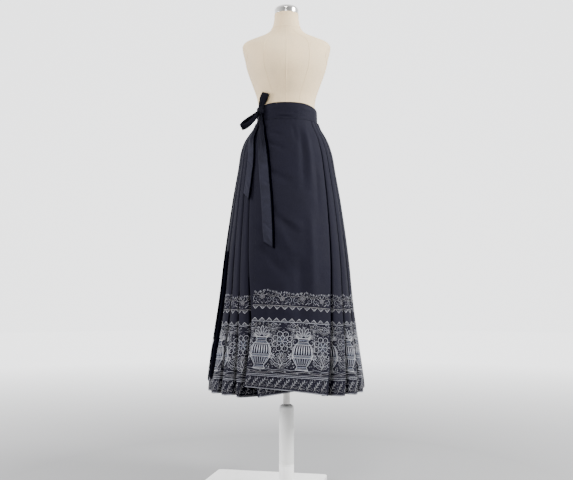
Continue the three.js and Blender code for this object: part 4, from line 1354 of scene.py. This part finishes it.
knotPiece()
loopCloths = {name: loopPiece(name) for name in loops}
tailCloths = {name: tailPiece(name) for name in tails}
print("bow made")


# Dress form: linen over a padded body, with seams, and a chrome cap on the neck
def formPiece():
    rows, count = 150, 144
    z = np.linspace(formSections["z"][0], formSections["z"][-1], rows)[:, None]
    turn = (np.arange(count) * 360 / count)[None, :]
    bottom = 3.0 * (1 - smooth((z - formSections["z"][0]) / 8))
    points = ovalPoint(formSections, turn, z, -bottom)
    measure = np.stack(np.broadcast_arrays(np.sin(np.radians(turn)) * 150 + turn, z, 0 * z), -1).reshape(-1, 3)
    piece = addPiece("form_torso_linen", points.reshape(-1, 3), ringFaces(rows, count), "linen",
                     {"weave": measure}, hardEdge=60)
    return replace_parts(piece, "form_torso")


def formSeams():
    # Raised seams: down the front, back and sides, over the bust and shoulders, and round neck and armholes
    work = Needlework()
    rows = np.linspace(1004, 1556, 60)
    bust = np.exp(-((rows - 1420) / 90) ** 2)
    for lean, middle in ((0, 0), (1, 25), (-1, -25), (0, 180), (1, 205), (-1, 155)):
        across = middle + lean * 9 * bust - lean * 5 * smooth((rows - 1500) / 50)
        work.line(np.stack([across, rows], -1), 1.5, "warm")
    sideRows = np.linspace(1004, 1440, 44)
    for middle in (90, 270):
        work.line(np.stack([middle + 0 * sideRows, sideRows], -1), 1.5, "warm")
    around = np.linspace(-180, 180, 120)
    for height in (1566, 1612):
        work.line(np.stack([around, height + 0 * around], -1), 1.6, "warm")
    oval = np.linspace(0, twoPi, 44)
    for middle in (90, 270):
        work.line(np.stack([middle + 24 * np.cos(oval), 1474 + 31 * np.sin(oval)], -1), 1.5, "warm")

    def surface(x, y, rise):
        return ovalPoint(formSections, x, y, rise)
    return layThreads("form_seams", work.lines, surface, lambda x, y: y > 1003, "linen", crown=0.9)


formPiece()
formSeams()
formTop = formSections["z"][-1]
cap = {"radius": 41.5, "height": 30, "rim": 6, "bead": 1.2}
capDome = cap["rim"] + 6
capProfile = [(34, 0)] + arc(cap["radius"] - cap["bead"], cap["bead"], cap["bead"], -90, 90, 7)
capProfile += [(cap["radius"] - 0.9, 2 * cap["bead"] + 0.2), (cap["radius"] - 0.6, capDome)]
capProfile += [(cap["radius"] * math.cos(angle) ** 0.62, capDome + (cap["height"] - capDome) * math.sin(angle))
               for angle in np.linspace(0.12, math.pi / 2 - 0.05, 16)]
neckCap = turned("neck_cap_chrome", capProfile, "chrome", base=formTop + 0.3)
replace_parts(neckCap, "neck_cap")
print("dress form made")

# Stand: pole, column with its groove, and base plate
stand = {"pole": 11.5, "column": 25, "columnTop": 287, "columnRound": 13, "groove": 86, "plate": 18,
         "plateLeft": 290, "plateRight": 110, "plateDeep": 180, "corner": 14, "bevel": 3, "turn": -12}
poleBottom, poleTop = stand["columnTop"] + 0.3, formSections["z"][0] - 0.3
poleProfile = [(stand["pole"] - 1, 0)] + arc(stand["pole"] - 0.8, 0.8, 0.8, -60, 0, 4)
poleProfile += [(stand["pole"], step) for step in np.linspace(40, poleTop - poleBottom - 40, 12)]
poleProfile += arc(stand["pole"] - 0.8, poleTop - poleBottom - 0.8, 0.8, 0, 80, 4)
pole = turned("pole_chrome", poleProfile, "chrome", base=poleBottom, sides=64)
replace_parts(pole, "pole")


def grooveProfile(height, half=1.1, depth=1.0):
    return [(stand["column"], height - half), (stand["column"] - depth * 0.7, height - half * 0.4),
            (stand["column"] - depth, height), (stand["column"] - depth * 0.7, height + half * 0.4),
            (stand["column"], height + half)]


columnHeight = stand["columnTop"] - stand["plate"] - 0.3
grooveLevel = stand["groove"] - stand["plate"]
columnProfile = [(stand["column"] - 1.5, 0)] + arc(stand["column"] - 0.8, 0.8, 0.8, -60, 0, 4)
columnProfile += grooveProfile(grooveLevel - 2.6) + grooveProfile(grooveLevel + 2.6)
shoulder = stand["columnRound"]
columnProfile += arc(stand["column"] - shoulder, columnHeight - shoulder, shoulder, 0, 90, 14)
column = turned("column_paint", columnProfile, "paint", base=stand["plate"] + 0.3, hardEdge=50)
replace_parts(column, "column")


def platePiece():
    # A flat plate with round corners and a rolled edge
    corners = [(stand["plateRight"], -stand["plateDeep"], -90), (stand["plateRight"], stand["plateDeep"], 0),
               (-stand["plateLeft"], stand["plateDeep"], 90), (-stand["plateLeft"], -stand["plateDeep"], 180)]
    radius = stand["corner"]

    def outline(inset):
        ring = []
        for x, y, start in corners:
            centreX, centreY = x - math.copysign(radius, x), y - math.copysign(radius, y)
            for angle in np.radians(np.linspace(start, start + 90, 12)):
                ring.append((centreX + (radius - inset) * math.cos(angle),
                             centreY + (radius - inset) * math.sin(angle)))
        return np.array(ring)

    roll = np.radians(np.linspace(0, 90, 7))
    bevel, top = stand["bevel"], stand["plate"]
    levels = [(bevel * (1 - math.cos(angle)), bevel * (1 - math.sin(angle))) for angle in roll[::-1]]
    levels += [(bevel * (1 - math.cos(angle)), top - bevel * (1 - math.sin(angle))) for angle in roll]
    rings = [np.column_stack([outline(inset), np.full(48, height)]) for inset, height in levels]
    points = np.stack(rings).reshape(-1, 3)
    angle = math.radians(stand["turn"])
    turnedX = points[:, 0] * math.cos(angle) - points[:, 1] * math.sin(angle)
    turnedY = points[:, 0] * math.sin(angle) + points[:, 1] * math.cos(angle)
    piece = addPiece("base_plate_paint", np.column_stack([turnedX, turnedY, points[:, 2]]),
                     ringFaces(len(rings), 48), "paint", hardEdge=50)
    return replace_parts(piece, "base_plate")


platePiece()
print("stand made")

# Lengths of the bow's loops and drops of the tails, in metres, worked out and not kept
for piece, loopLength in loopCloths.values():
    round(loopLength * mm, 3)
for piece, stitches, drop in tailCloths.values():
    drop * mm


# Floor, light and camera
studio = {"tone": (0.985, 0.99, 1.0), "dim": 0.55, "bright": 2.9, "near": 1.0, "far": 4.5, "floorRadius": 9,
          "floorDrop": 0.0005}


def stageFloor():
    # A pale disc that, with distance, gives way to a painted glow as bright as the surround in that direction, so
    # that it fades into it. The surround is brighter behind the skirt.
    finish = Finish("paleFloor", {"Roughness": 0.8, "Specular IOR Level": 0.2, "Emission Strength": 1.0})
    place = finish.node("TexCoord", {}, {}, "Object")
    away = finish.node("VectorMath", {"operation": "LENGTH"}, {0: place}, "Value")
    _, ahead, _ = finish.parts(finish.node("VectorMath", {"operation": "NORMALIZE"}, {0: place}))
    level = finish.between(ahead, studio["dim"], studio["bright"], -1, 1)
    glow = finish.node("VectorMath", {"operation": "SCALE"}, {0: studio["tone"], "Scale": level})
    far = finish.between(away, 0, 1, studio["near"], studio["far"])
    grain = finish.noise(place, 160.0, 3)
    near = finish.mixed(grain, (0.27, 0.27, 0.27), (0.32, 0.32, 0.32))
    finish.feed(colour=finish.mixed(far, near, (0, 0, 0)), glow=finish.mixed(far, (0, 0, 0), glow),
                normal=finish.bump(grain, 0.1, 0.0005))
    angles = [twoPi * side / 96 for side in range(96)]
    radius = studio["floorRadius"]
    ring = [(radius * math.cos(angle), radius * math.sin(angle), -studio["floorDrop"]) for angle in angles]
    mesh = bpy.data.meshes.new("floor")
    mesh.from_pydata(ring, [], [list(range(len(ring)))])
    mesh.materials.append(finish.material)
    floor = bpy.data.objects.new("floor", mesh)
    bpy.context.scene.collection.objects.link(floor)


def surround():
    # Brighter behind the skirt than behind the camera
    world = bpy.data.worlds.new("surround")
    world.use_nodes = True
    nodes = Nodes(world.node_tree)
    background = nodes.tree.nodes["Background"]
    background.inputs["Color"].default_value = (*studio["tone"], 1)
    _, ahead, _ = nodes.parts(nodes.node("TexCoord", {}, {}, "Generated"))
    level = nodes.between(ahead, studio["dim"], studio["bright"], -1, 1)
    nodes.tree.links.new(level.socket, background.inputs["Strength"])
    bpy.context.scene.world = world


lamps = {
    "key": {"place": (-0.3, -2.8, 2.9), "target": (0, 0, 0.9), "size": 1.2, "power": 82,
            "colour": (1.0, 0.985, 0.96)},
    "window": {"place": (2.5, -0.8, 2.2), "target": (0, 0, 1.0), "size": 1.1, "power": 160,
               "colour": (0.97, 0.98, 1.0)},
    "fill": {"place": (-2.7, -0.5, 1.2), "target": (-0.1, 0, 0.7), "size": 1.0, "power": 60,
             "colour": (0.93, 0.92, 1.0)},
}


def softLight(name, place, target, size, power, colour):
    light = bpy.data.lights.new(name, "AREA")
    light.shape, light.size, light.energy, light.color = "DISK", size, power, colour
    lamp = bpy.data.objects.new(name, light)
    lamp.location = place
    lamp.rotation_euler = (Vector(target) - Vector(place)).to_track_quat("-Z", "Y").to_euler()
    bpy.context.scene.collection.objects.link(lamp)


stageFloor()
surround()
for name, lamp in lamps.items():
    softLight(name, **lamp)

view = {"distance": 2.8, "height": 0.705, "pitch": 2.78, "focal": 823.5, "imageWidth": 573, "sensor": 36.0}
camera = bpy.data.cameras.new("camera")
camera.sensor_width = view["sensor"]
camera.lens = view["focal"] * view["sensor"] / view["imageWidth"]
camera.clip_end = 60
standpoint = bpy.data.objects.new("camera", camera)
standpoint.location = (0, -view["distance"], view["height"])
standpoint.rotation_euler = (math.radians(90 + view["pitch"]), 0, 0)
bpy.context.scene.collection.objects.link(standpoint)
bpy.context.scene.camera = standpoint

print("scene ready")
